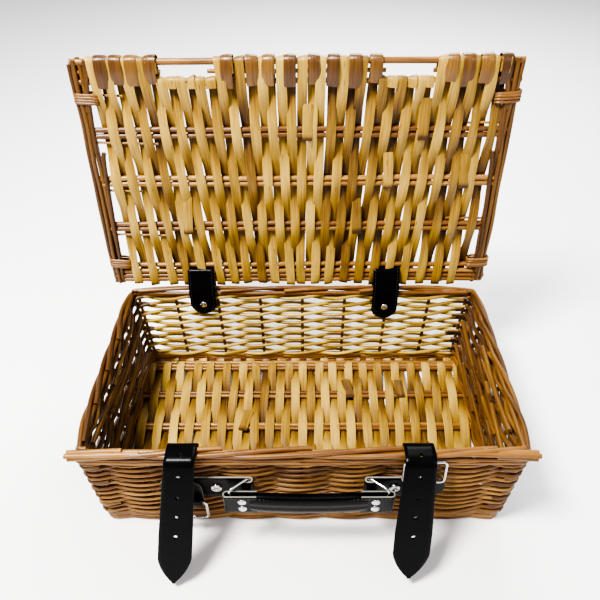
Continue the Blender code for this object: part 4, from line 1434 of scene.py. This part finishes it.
    def loose_stick(self, z: float, span: tuple[float, float], thick: float) -> Strand:
        """A cut-off stick that lies straight along a wall's inner face, with pointed ends."""
        draw = self.draw
        s = np.linspace(*span, 18)
        place, normal = self.around(z, s)
        drift = draw.uniform(-0.007, 0.007)
        ups = np.clip(z + drift * np.linspace(-1.0, 1.0, 18), self.low_row, self.rim_low - 0.004)
        inward = normal * (self.stake_radius + thick * 0.85) * -1.0
        stick = Strand.of(np.c_[place + inward, ups], draw.uniform(0.62, 0.86), 0.1, draw.uniform(0.0, 0.3))
        stick.widths[:3] *= (0.35, 0.6, 0.85)
        stick.widths[-3:] *= (0.85, 0.6, 0.35)
        return stick

    def walls(self) -> None:
        """Rows of twisted pairs of weavers on each wall, with joins in the rows, over a close base."""
        draw = self.draw
        high = self.rim_low - 0.0020
        for side, name, rows, thick, spread, finish in WALL_WEAVES:
            strands = []
            for row in range(rows):
                z = self.low_row + (high - self.low_row) * row / (rows - 1)
                for part in (0, 1):
                    first, last = side - draw.uniform(0.005, 0.05), side + 1.0 + draw.uniform(0.005, 0.05)
                    cut = side + draw.uniform(0.25, 0.75)
                    for span in ((first, cut + 0.05), (cut - 0.05, last)):
                        strands.append(
                            self.round_strand(z, span, row + part, thick, draw.uniform(0.82, 1.14), spread)
                        )
            if finish is Finish.BARK:
                for _ in range(self.loose_stick_count):
                    first = side + draw.uniform(0.02, 0.60)
                    span = (first, min(first + draw.uniform(0.26, 0.44), side + 0.97))
                    strands.append(self.loose_stick(draw.uniform(self.low_row + 0.006, high - 0.004), span, thick))
            piece = self.shop.strands(
                f"wall_weavers_{name}", strands, finish, thick, thick * 0.92, None, 8, 61 + side
            )
            settle(piece, "basket", f"wall_{name}")
        base = []
        for k in range(4):
            for part in (0, 1):
                for side in range(4):
                    span = (side - draw.uniform(0.02, 0.15), side + 1.0 + draw.uniform(0.02, 0.15))
                    base.append(
                        self.round_strand(0.0024 + 0.0034 * k, span, k + part, 0.0040, draw.uniform(0.9, 1.1), 0.3)
                    )
        piece = self.shop.strands("base_wale", base, Finish.WEAVER, 0.0041, 0.0038, None, 8, 66)
        settle(piece, "basket")

    def rim(self) -> None:
        """The border: each stake is laid down along the edge over the next few, and cut off inside."""
        draw = self.draw
        reach = self.rim_width / 2 - 0.0021
        rise = (self.top - self.rim_low) / 2 - 0.0025
        middle = (self.rim_low + self.top) / 2
        half = (self.half_x - self.rim_width / 2, self.half_y - self.rim_width / 2)
        for side, (name, finish) in enumerate(
            (("front", Finish.ROD), ("right", Finish.BARK), ("back", Finish.ROD), ("left", Finish.BARK))
        ):
            strands = []
            count = self.rim_rod_count
            lifted = middle + (self.back_rim_lift if name == "back" else 0.0)
            for k in range(count):
                span = draw.uniform(0.44, 0.56)
                centre = (k + 0.5) / count
                s = side + np.linspace(max(-0.02, centre - span / 2), min(1.02, centre + span / 2), 44)
                spiral = math.radians(35.0) + math.radians(235.0) * np.linspace(1.0, 0.0, 44)
                turn = spiral + draw.uniform(-0.12, 0.12)
                up = lifted - rise * np.sin(turn + math.pi)
                strands.append(self.rim_strand(s, half, -reach * np.cos(turn), up, draw.uniform(0.9, 1.08)))
            ends = np.linspace(-0.02, 1.02, 60)
            strands.append(
                self.rim_strand(side + ends, half, -0.0015 + 0.0 * ends, middle - 0.0012 + 0.0 * ends, 1.0)
            )
            if name == "front":
                strands += self.corner_tips(half, middle)
            piece = self.shop.strands(f"rim_rods_{name}", strands, finish, 0.0046, 0.0045, None, 10, 70 + side)
            settle(piece, "basket", f"rim_{name}")
            followers = []
            for z, out in ((self.rim_low - 0.0012, 0.0030), (self.rim_low - 0.0050, 0.0034)):
                for a, b in ((-0.01, draw.uniform(0.45, 0.7)), (draw.uniform(0.3, 0.5), 1.01)):
                    s = side + np.linspace(a, b, 40)
                    drift = wobble(40, 0.0007, draw, 3.0)
                    followers.append(self.rim_strand(s, half, out + 0.0 * s, z + drift, draw.uniform(0.85, 1.0)))
            piece = self.shop.strands(
                f"rim_follower_rods_{name}", followers, finish, 0.0040, 0.0040, None, 8, 80 + side
            )
            settle(piece, "basket")

    def corner_tips(self, half: tuple[float, float], middle: float) -> list[Strand]:
        """Rods of the front border whose pointed ends run straight on past the corners."""
        tips = []
        for sign in (-1.0, 1.0):
            for start, y, z, reach in CORNER_TIPS:
                xs = sign * np.linspace(half[0] * start, self.half_x + reach, 30)
                share = np.linspace(0.0, 1.0, 30)
                rod = Strand.of(np.c_[xs, -half[1] + y - 0.001 * share, middle + z - 0.0015 * share], 1.0, 0.3)
                rod.widths[-6:] *= np.linspace(1.0, 0.45, 6)
                tips.append(rod)
        return tips

    def rim_strand(
        self, s: np.ndarray, half: tuple[float, float], out: np.ndarray, up: np.ndarray, size: float
    ) -> Strand:
        """A border rod that runs along s, out from the border's middle line and up at these places."""
        place, normal = self.loop(*half, s, 0.004)
        return Strand.of(np.c_[place + normal * out[:, None], up], size, 0.35)

    def build(self) -> None:
        """Makes the whole basket."""
        self.floor()
        self.stakes()
        self.walls()
        self.rim()


# ---------------------------------------------------------------- straps, hinges, handle and buckles


GRIP_SAG = 0.0030


@dataclass
class Leatherwork:
    """The straps, hinges, handle and buckles, each set on its CAD nodes."""

    shop: Workshop
    frame: dict
    stitch_inset: float = 0.0024
    wire_sides: int = 14

    def __post_init__(self) -> None:
        """Finds the joints by name."""
        self.joints = {j["name"]: j for j in self.frame["joints"]}

    def stitching(self, name: str, lines: Sequence[Strand]) -> bpy.types.Object:
        """Stitches along lines on the flat strip."""
        piece = self.shop.stitches.run(
            name, curve_of(name + "_lines", lines), Material=Finish.THREAD.material()
        )
        return piece

    def strap(self, side: str) -> None:
        """One fastening strap from its rivet inside, over the rim, to its pointed end."""
        joint = self.joints[f"strap_{side}_swing"]
        low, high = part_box(f"strap_anchor_{side}")
        tail_low, tail_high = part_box(f"strap_tail_{side}")
        pivot_y, pivot_z = joint["pos_m"][1], joint["pos_m"][2]
        middle = (low.x + high.x) / 2
        half = (high.x - low.x) / 2
        inside = high.y - 0.0011
        lean = math.atan2(pivot_y - tail_low.y - 0.001, pivot_z - tail_low.z)
        drop = (pivot_z - tail_low.z) / math.cos(lean)
        tip = (pivot_y - math.sin(lean) * drop, pivot_z - math.cos(lean) * drop)
        over = pivot_z - 0.0012
        path = Path([(inside, low.z), (inside, over), (pivot_y - 0.0006, over), tip], 0.0080)
        length = path.length
        start = length - drop
        point, lateral, flare = (0.026, 0.0, 0.13) if side == "left" else (0.026, -0.0026, 0.21)
        shift = max(tail_low.x - low.x, tail_high.x - high.x, key=abs) * drop / (drop - point)

        def outline(y: float) -> float:
            """The strap's half width: square at the root and drawn to a point at the end."""
            left = length - y
            wide = half * (0.87 + flare * min(max((y - start) / (drop * 0.6), 0.0), 1.0))
            if left >= point:
                return wide
            return wide * max(0.06, 1.0 - (1.0 - left / point) ** 1.5) ** 0.8

        holes = [(0.0, start - 0.0035 + 0.0195 * k, 0.0018) for k in range(5)]
        strip = Strip(f"strap_{side}", length, 0.0022, outline, 0.0013, holes)
        piece = strip.build()

        def slide(y: np.ndarray) -> np.ndarray:
            """The hanging part's drift to the side."""
            return np.clip((y - start) / drop, 0.0, 1.0) * shift + lateral

        place = frame_of((1.0, 0.0, 0.0), (0.0, 1.0, 0.0), (0.0, 0.0, 1.0), (middle, 0.0, 0.0))
        thread = self.stitching(
            f"strap_{side}_stitching", strip.seam(self.stitch_inset, 0.004, length - 0.004, 0.0011, 90)
        )
        bend(piece, path, place, slide)
        bend(thread, path, place, slide)
        self.flip_if_inside_out(piece)
        dress(piece, Finish.LEATHER, 50.0)
        piece = self.shop.join(f"strap_{side}", [piece, thread])
        pivot_y + 0.0030
        pivot_y - 0.0030
        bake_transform(piece)
        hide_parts(f"strap_anchor_{side}", f"strap_tail_{side}")
        LOG.info("%s bends between basket and strap_%s", piece.name, side)

    @staticmethod
    def flip_if_inside_out(piece: bpy.types.Object) -> None:
        """Turns the faces outwards after a bend that mirrored them."""
        shape = bmesh.new()
        shape.from_mesh(piece.data)
        if shape.calc_volume(signed=True) < 0:
            bmesh.ops.reverse_faces(shape, faces=shape.faces)
        shape.to_mesh(piece.data)
        shape.free()

    def hinge(self, side: str) -> None:
        """One leather hinge: the leaves on the back wall and the loop in the lid."""
        low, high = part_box(f"hinge_inner_leaf_{side}")
        back_low, back_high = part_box(f"hinge_outer_leaf_{side}")
        middle = (low.x + high.x) / 2
        half = (high.x - low.x) / 2
        joint = self.joints["lid_hinge"]
        hinge_y, hinge_z = joint["pos_m"][1], joint["pos_m"][2]
        opened = math.radians(joint["range_deg"][1])
        front, rear = (low.y + high.y) / 2, (back_low.y + back_high.y) / 2
        along = (-math.cos(opened), math.sin(opened))
        facing = (-math.sin(opened), -math.cos(opened))
        skin, far = 0.0053, 0.0163
        near_top = (hinge_y + facing[0] * skin + along[0] * far, hinge_z + facing[1] * skin + along[1] * far)
        far_top = (hinge_y - facing[0] * skin + along[0] * far, hinge_z - facing[1] * skin + along[1] * far)
        corners = [
            (front, low.z), (front, high.z + 0.001), near_top, far_top, (rear, back_high.z + 0.001), (rear, back_low.z)
        ]
        path = Path(corners, 0.0032)

        def outline(y: float) -> float:
            """A round end on the inner leaf, and straight sides beyond."""
            return half * math.sqrt(max(0.004, 1.0 - max(0.0, 1.0 - y / half) ** 2))

        rivet = high.z - 0.0214 - low.z
        strip = Strip(f"hinge_{side}", path.length, 0.0020, outline, 0.0012)
        piece = strip.build()
        place = frame_of((1.0, 0.0, 0.0), (0.0, 1.0, 0.0), (0.0, 0.0, 1.0), (middle, 0.0, 0.0))
        lines = strip.seam(self.stitch_inset, 0.0026, path.length - 0.003, 0.0010, 90)
        thread = self.stitching(f"hinge_{side}_stitching", lines)
        for part in (piece, thread):
            bend(part, path, place)
        self.flip_if_inside_out(piece)
        dress(piece, Finish.LEATHER, 50.0)
        piece = self.shop.join(f"hinge_{side}", [piece, thread])
        hinge_z + 0.004
        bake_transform(piece)
        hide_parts(f"hinge_inner_leaf_{side}", f"hinge_outer_leaf_{side}", f"hinge_loop_{side}")
        LOG.info("%s bends between basket and lid at %.4f", piece.name, rivet)
        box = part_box(f"hinge_rivet_{side}")
        x, z = (box[0].x + box[1].x) / 2, (box[0].z + box[1].z) / 2
        inner = self.shop.heads(
            f"hinge_rivet_cap_{side}", [(x, low.y - 0.0001, z)], (0, -1, 0), 0.0041, Finish.STEEL, 0.42
        )
        settle(inner, "basket", f"hinge_rivet_{side}")
        outer = self.shop.heads(
            f"hinge_rivet_tail_{side}", [(x, back_high.y + 0.0001, z)], (0, 1, 0), 0.0036, Finish.STEEL, 0.3
        )
        settle(outer, "basket")

    def chape(self, side: str) -> None:
        """The leather band that holds one ring of the handle, with its eyelet."""
        sign = -1.0 if side == "left" else 1.0
        low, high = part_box(f"handle_chape_{side}")
        ring = self.joints[f"ring_{side}_turn"]["pos_m"]
        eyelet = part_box(f"chape_eyelet_{side}")
        outer = low.x if sign < 0 else high.x
        face = high.y - 0.0010
        wrap = ring[1] - (low.y + 0.0010)
        fold = [
            (ring[0] - sign * wrap * math.sin(t), ring[1] + wrap * math.cos(t)) for t in np.linspace(0, math.pi, 9)
        ]
        corners = [(outer, face), *fold, (ring[0] + sign * 0.007, ring[1] - wrap)]
        path = Path([(sign * x, y) for x, y in corners], 0.0004)
        half = (high.z - low.z) / 2

        def outline(y: float) -> float:
            """A round end on the outer side."""
            return half * math.sqrt(max(0.01, 1.0 - max(0.0, 1.0 - y / half) ** 2))

        strip = Strip(f"chape_leather_{side}", path.length, 0.0020, outline, 0.0009, raw=0.9)
        piece = strip.build()
        lines = strip.seam(self.stitch_inset, 0.003, path.length - 0.014, -0.0010, 60)
        thread = self.stitching(f"chape_{side}_stitching", lines)
        middle = (low.z + high.z) / 2
        place = frame_of((0.0, 0.0, 1.0), (sign, 0.0, 0.0), (0.0, 1.0, 0.0), (0.0, 0.0, middle))
        for part in (piece, thread):
            bend(part, path, place)
        self.flip_if_inside_out(piece)
        dress(piece, Finish.LEATHER, 50.0)
        piece = self.shop.join(f"chape_leather_{side}", [piece, thread])
        piece_body = settle(piece, "basket", f"handle_chape_{side}")
        x, z = (eyelet[0].x + eyelet[1].x) / 2, (eyelet[0].z + eyelet[1].z) / 2
        self.eyelet(f"chape_eyelet_{side}", (x, low_face(face), z))

    def eyelet(self, name: str, place: Point) -> None:
        """A rolled tubular eyelet with its open middle."""
        turns = np.linspace(0, 2 * math.pi, 36, endpoint=False)
        rolled = []
        for radius, depth, size in ((0.0040, 0.0006, 1.0), (0.0028, -0.0002, 0.7)):
            ring = [
                (place[0] + radius * math.cos(t), place[1] - depth, place[2] + radius * math.sin(t)) for t in turns
            ]
            rolled.append(Strand.of(ring, size))
            rolled[-1].widths[:] = size
        piece = self.shop.strands(
            name + "_collar", rolled, Finish.STEEL, 0.0021, 0.0021, None, self.wire_sides, 1, True
        )
        settle(piece, "basket", name)
        post = self.shop.heads(name + "_post", [place], (0, -1, 0), 0.0024, Finish.STEEL, 0.16)
        settle(post, "basket")
        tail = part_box(name)[1].y
        back = self.shop.heads(
            name + "_washer", [(place[0], tail - 0.0004, place[2])], (0, 1, 0), 0.0042, Finish.STEEL, 0.2
        )
        settle(back, "basket")

    def wire_loop(self, points: Sequence[Point], name: str, diameter: float) -> bpy.types.Object:
        """A closed wire loop through these points."""
        strand = Strand.of(points)
        strand.widths[:] = 1.0
        return self.shop.strands(name, [strand], Finish.STEEL, diameter, diameter, None, self.wire_sides, 1, True)

    def ring(self, side: str) -> None:
        """One wire ring between its chape and the handle."""
        sign = -1.0 if side == "left" else 1.0
        near = Vector(self.joints[f"ring_{side}_turn"]["pos_m"])
        low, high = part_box(f"handle_ring_{side}")
        wire = 0.0011
        far = Vector((high.x - wire if sign > 0 else low.x + wire, low.y + wire, near.z))
        across = far - near
        length = across.length
        along = across.normalized()
        half = (high.z - low.z) / 2 - wire
        outline = rounded_outline(length, half, 0.0034)
        points = [tuple(near + along * a + Vector((0, 0, b))) for a, b in outline]
        settle(self.wire_loop(points, f"handle_ring_{side}_wire", wire * 2), f"ring_{side}", f"handle_ring_{side}")

    def handle(self) -> None:
        """The padded grip, its end loops and their rivets."""
        low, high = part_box("grip_cover")
        strip_low, strip_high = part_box("handle_strip")
        middle = (low + high) / 2
        half = (high.x - low.x) / 2
        tall, deep = (high.z - low.z) / 2, (high.y - low.y) / 2
        grip = self.grip_shell(half, tall, deep)
        grip.data.transform(Matrix.Translation(middle))
        dress(grip, Finish.LEATHER, 60.0)
        settle(grip, "handle", "grip_cover")
        lines = []
        for z in (-tall + 0.0016, tall - 0.0016):
            for y in (-deep * 0.62, deep * 0.62):
                xs = np.linspace(-half + 0.002, half - 0.002, 60)
                lines.append(Strand.of([(x, y, z - GRIP_SAG * (1.0 - (x / half) ** 2)) for x in xs]))
        thread = self.stitching("grip_stitching", lines)
        thread.data.transform(Matrix.Translation(middle))
        settle(thread, "handle")
        for side, sign in (("left", -1.0), ("right", 1.0)):
            self.end_loop(side, sign, middle, half, strip_low, strip_high)

    def end_loop(self, side: str, sign: float, middle: Vector, half: float, low: Vector, high: Vector) -> None:
        """The folded leather at one end of the handle, round its ring, with two rivets."""
        end = high.x - middle.x if sign > 0 else middle.x - low.x
        deep = (high.y - low.y) / 2
        thick = 0.0018
        turn = deep - thick / 2
        inner = half - 0.006
        bendx = end - deep
        front = [(inner, -turn), (bendx - 0.006, -turn)]
        curl = [(bendx + turn * math.sin(t), -turn * math.cos(t)) for t in np.linspace(0.0, math.pi, 11)]
        back = [(bendx - 0.006, turn), (inner, turn)]
        path = Path(front + curl + back, 0.0006)
        tall = (high.z - low.z) / 2

        def outline(y: float) -> float:
            """Square ended, with the corners just eased."""
            return tall

        strip = Strip(f"handle_end_{side}", path.length, thick, outline, 0.0010, raw=0.7)
        piece = strip.build()
        lines = strip.seam(0.0020, 0.007, path.length - 0.007, -thick / 2, 60)
        thread = self.stitching(f"handle_end_{side}_stitching", lines)
        place = frame_of((0.0, 0.0, 1.0), (sign, 0.0, 0.0), (0.0, 1.0, 0.0), tuple(middle))
        for part in (piece, thread):
            bend(part, path, place)
        self.flip_if_inside_out(piece)
        dress(piece, Finish.LEATHER, 50.0)
        piece = self.shop.join(f"handle_end_{side}", [piece, thread])
        settle(piece, "handle", *(["handle_strip"] if side == "left" else []))
        fronts, backs, names = [], [], []
        for level in ("upper", "lower"):
            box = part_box(f"handle_rivet_{level}_{side}")
            x, z = (box[0].x + box[1].x) / 2, (box[0].z + box[1].z) / 2
            fronts.append((x, low.y - 0.0001, z))
            backs.append((x, high.y + 0.0001, z))
            names.append(f"handle_rivet_{level}_{side}")
        caps = self.shop.heads(f"handle_rivet_caps_{side}", fronts, (0, -1, 0), 0.0039, Finish.STEEL, 0.42)
        settle(caps, "handle", *names)
        tails = self.shop.heads(f"handle_rivet_tails_{side}", backs, (0, 1, 0), 0.0034, Finish.STEEL, 0.28)
        settle(tails, "handle")

    @staticmethod
    def grip_shell(half: float, tall: float, deep: float) -> bpy.types.Object:
        """The stuffed grip: a crowned form with two soft ridges along its face and pulled-in ends."""
        rows, columns = 56, 40
        shape = bmesh.new()
        rings = []
        for i in range(rows + 1):
            share = i / rows * 2.0 - 1.0
            ease = 1.0 - 0.16 * abs(share) ** 7
            ring = []
            for k in range(columns):
                turn = 2.0 * math.pi * k / columns
                c, s = math.cos(turn), math.sin(turn)
                y = deep * np.sign(c) * abs(c) ** 0.72 * ease
                z = tall * np.sign(s) * abs(s) ** 0.80 * ease
                groove = math.exp(-((z / tall) ** 2) / 0.02) * 0.16 * (1.0 if c < 0 else 0.4)
                y *= 1.0 - groove
                ripple = 1.0 + 0.012 * math.sin(i * 1.9) * math.sin(k * 0.9)
                ring.append(shape.verts.new((half * share, y * ripple, z * 1.06 - GRIP_SAG * (1.0 - share * share))))
            rings.append(ring)
        for a, b in zip(rings, rings[1:]):
            for k in range(columns):
                shape.faces.new((a[k], b[k], b[(k + 1) % columns], a[(k + 1) % columns]))
        shape.faces.new(rings[0])
        shape.faces.new(rings[-1][::-1])
        bmesh.ops.recalc_face_normals(shape, faces=shape.faces)
        mesh = bpy.data.meshes.new("handle_grip")
        shape.to_mesh(mesh)
        shape.free()
        made = bpy.data.objects.new("handle_grip", mesh)
        bpy.context.scene.collection.objects.link(made)
        return made

    def buckle(self, side: str) -> None:
        """One buckle: its leather tab, wire frame, prong and rivet."""
        swivel = self.joints[f"buckle_{side}_swivel"]["pos_m"]
        tilt = self.joints[f"buckle_{side}_tilt"]["pos_m"]
        up = 1.0 if tilt[2] > swivel[2] else -1.0
        low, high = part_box(f"buckle_tab_{side}")
        half = (high.x - low.x) / 2
        base = swivel[1] - 0.0010
        reach = abs(tilt[2] - swivel[2])
        wrap = base - tilt[1]
        fold = [(reach + wrap * math.sin(t), tilt[1] + wrap * math.cos(t)) for t in np.linspace(0, math.pi, 9)]
        corners = [(-half, base), *fold, (reach - 0.006, tilt[1] - wrap)]
        path = Path(corners, 0.0004)

        def outline(y: float) -> float:
            """Round at the rivet's end, straight to the fold."""
            return half * math.sqrt(max(0.01, 1.0 - max(0.0, 1.0 - y / half) ** 2))

        strip = Strip(f"tab_leather_{side}", path.length, 0.0020, outline, 0.0009, raw=0.6)
        piece = strip.build()
        self.prong_slot(piece, half + reach + wrap * math.pi / 2)
        place = frame_of((1.0, 0.0, 0.0), (0.0, 0.0, up), (0.0, 1.0, 0.0), (swivel[0], 0.0, swivel[2]))
        bend(piece, path, place)
        self.flip_if_inside_out(piece)
        dress(piece, Finish.LEATHER, 50.0)
        settle(piece, f"tab_{side}", f"buckle_tab_{side}")
        frame_low, frame_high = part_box(f"buckle_frame_{side}")
        wire = 0.0013
        wide = (frame_high.x - frame_low.x) / 2 - wire
        end_z = frame_high.z - wire if up > 0 else frame_low.z + wire
        lean_y = (frame_high.y - wire) if up > 0 else tilt[1]
        near = Vector(tilt)
        far = Vector((tilt[0], lean_y, end_z))
        along = (far - near).normalized()
        outline_points = rounded_outline((far - near).length, wide, 0.0042)
        drift = 0.0030 if side == "right" else -0.0030
        points = [tuple(near + along * a + Vector((b + drift, 0, 0))) for a, b in outline_points]
        settle(
            self.wire_loop(points, f"buckle_frame_{side}_wire", wire * 2), f"buckle_{side}", f"buckle_frame_{side}"
        )
        self.prong(side, near, along)
        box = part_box(f"strap_rivet_{side}")
        x, z = (box[0].x + box[1].x) / 2, (box[0].z + box[1].z) / 2
        caps = self.shop.heads(
            f"strap_rivet_cap_{side}", [(x, low_face(base), z)], (0, -1, 0), 0.0040, Finish.STEEL, 0.40
        )
        settle(caps, "basket", f"strap_rivet_{side}")
        tails = self.shop.heads(
            f"strap_rivet_tail_{side}", [(x, box[1].y - 0.0008, z)], (0, 1, 0), 0.0038, Finish.STEEL, 0.3
        )
        settle(tails, "basket")

    @staticmethod
    def prong_slot(piece: bpy.types.Object, place: float) -> None:
        """Cuts the slot that the prong stands in, across the fold."""
        shape = bmesh.new()
        bmesh.ops.create_cube(
            shape, size=1.0, matrix=Matrix.LocRotScale(Vector((0, place, 0)), None, Vector((0.0068, 0.0195, 0.02)))
        )
        mesh = bpy.data.meshes.new("slot")
        shape.to_mesh(mesh)
        shape.free()
        cutter = bpy.data.objects.new("slot", mesh)
        bpy.context.scene.collection.objects.link(cutter)
        modifier = piece.modifiers.new("slot", "BOOLEAN")
        modifier.operation = "DIFFERENCE"
        modifier.object = cutter
        bake(piece)
        bpy.data.objects.remove(cutter)

    def prong(self, side: str, near: Vector, along: Vector) -> None:
        """The prong: an eye round the frame's bar and a shank that rests on the far bar."""
        out = Vector((1, 0, 0)).cross(along)
        if out.y > 0:
            out = -out
        eye = 0.0025
        turns = np.linspace(math.radians(80), math.radians(-180), 16)
        points = [near - out * (eye * math.cos(t)) + along * (eye * math.sin(t)) for t in turns]
        for reach, height in ((0.004, eye), (0.012, eye * 1.04), (0.0185, eye * 1.02), (0.0262, eye)):
            points.append(near + out * height + along * reach)
        strand = Strand.of([tuple(p) for p in points])
        strand.widths[:] = 1.0
        strand.widths[-1] = 0.55
        piece = self.shop.strands(f"buckle_prong_{side}_wire", [strand], Finish.STEEL, 0.0023, 0.0017, None, 12)
        settle(piece, f"prong_{side}", f"buckle_prong_{side}")

    def build(self) -> None:
        """Makes all the leather and its fittings."""
        for side in ("left", "right"):
            self.strap(side)
            self.hinge(side)
            self.chape(side)
            self.ring(side)
            self.buckle(side)
        self.handle()


def low_face(middle: float, thickness: float = 0.0020) -> float:
    """The front face of a leather piece whose middle lies at this y."""
    return middle - thickness / 2


def rounded_outline(length: float, half: float, corner: float, steps: int = 7) -> list[tuple[float, float]]:
    """A rectangle with round corners, from 0 to length one way and half each way in the other."""
    found = []
    for a, b, start in (
        (length - corner, half - corner, 0.0),
        (corner, half - corner, 90.0),
        (corner, corner - half, 180.0),
        (length - corner, corner - half, 270.0),
    ):
        for k in range(steps + 1):
            turn = math.radians(start + 90.0 * k / steps)
            found.append((a + corner * math.cos(turn), b + corner * math.sin(turn)))
    return found


# ---------------------------------------------------------------- the studio


@dataclass
class Studio:
    """The camera, the soft lights and the pale floor."""

    eye: Point = (0.0032, -0.4013, 0.5408)
    pitch: float = 40.98
    yaw: float = -0.66
    roll: float = -0.59
    lens: float = 35.16
    floor_colour: tuple[float, float, float] = (0.90, 0.89, 0.88)

    def camera(self) -> None:
        """The camera, looking down at the open hamper from the front."""
        data = bpy.data.cameras.new("camera")
        data.lens = self.lens
        data.sensor_width = 36.0
        data.clip_start = 0.01
        camera = bpy.data.objects.new("camera", data)
        bpy.context.scene.collection.objects.link(camera)
        pitch, yaw, roll = (math.radians(a) for a in (self.pitch, self.yaw, self.roll))
        forward = Vector((math.sin(yaw) * math.cos(pitch), math.cos(yaw) * math.cos(pitch), -math.sin(pitch)))
        right = Vector((math.cos(yaw), -math.sin(yaw), 0.0))
        up = right.cross(forward)
        turned_right = right * math.cos(roll) + up * math.sin(roll)
        turned_up = up * math.cos(roll) - right * math.sin(roll)
        camera.matrix_world = Matrix((turned_right, turned_up, -forward)).transposed().to_4x4()
        camera.location = self.eye
        bpy.context.scene.camera = camera

    def light(
        self, name: str, place: Point, aim: Point, size: float, power: float, colour: Point = (1.0, 1.0, 1.0)
    ) -> None:
        """One soft area light that looks at a point."""
        data = bpy.data.lights.new(name, "AREA")
        data.shape = "DISK"
        data.size = size
        data.energy = power
        data.color = colour
        lamp = bpy.data.objects.new(name, data)
        bpy.context.scene.collection.objects.link(lamp)
        lamp.location = place
        lamp.rotation_euler = (Vector(aim) - Vector(place)).to_track_quat("-Z", "Y").to_euler()

    def floor(self) -> None:
        """A pale cloth floor."""
        shape = bmesh.new()
        bmesh.ops.create_grid(shape, x_segments=2, y_segments=2, size=6.0)
        mesh = bpy.data.meshes.new("studio_floor")
        shape.to_mesh(mesh)
        shape.free()
        floor = bpy.data.objects.new("studio_floor", mesh)
        bpy.context.scene.collection.objects.link(floor)
        shader = Shader("studio_floor")
        cloth = shader.noise(shader.object_place(), 700.0, 2.0, 0.5)
        colour = shader.mix(cloth * 0.06, self.floor_colour, tuple(c * 0.9 for c in self.floor_colour))
        floor.data.materials.append(shader.finish(Base_Color=colour, Roughness=0.85))

    def build(self) -> None:
        """Sets up the studio."""
        self.camera()
        self.floor()
        self.light("key_light", (-0.50, -0.30, 1.35), (0.0, 0.05, 0.10), 0.40, 48.0, (1.0, 0.985, 0.955))
        self.light("fill_light", (0.95, -0.75, 0.90), (0.0, 0.0, 0.12), 0.8, 5.0, (0.97, 0.985, 1.0))
        self.light("back_light", (0.25, 1.15, 1.20), (0.0, 0.05, 0.15), 0.8, 26.0)
        world = bpy.data.worlds.new("studio_world")
        world.use_nodes = True
        background = world.node_tree.nodes["Background"]
        background.inputs["Color"].default_value = (0.93, 0.95, 1.0, 1.0)
        background.inputs["Strength"].default_value = 0.50
        bpy.context.scene.world = world
        bpy.context.scene.view_settings.look = "AgX - High Contrast"


def main() -> None:
    """Builds the hamper around its frame."""
    logging.basicConfig(level=logging.INFO, format="%(name)s: %(message)s")
    for obj in list(bpy.data.objects):
        bpy.data.objects.remove(obj)
    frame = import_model()
    shop = Workshop()
    Studio().build()
    Lid(shop, frame).build()
    Basket(shop).build()
    Leatherwork(shop, frame).build()


if __name__ == "__main__":
    main()
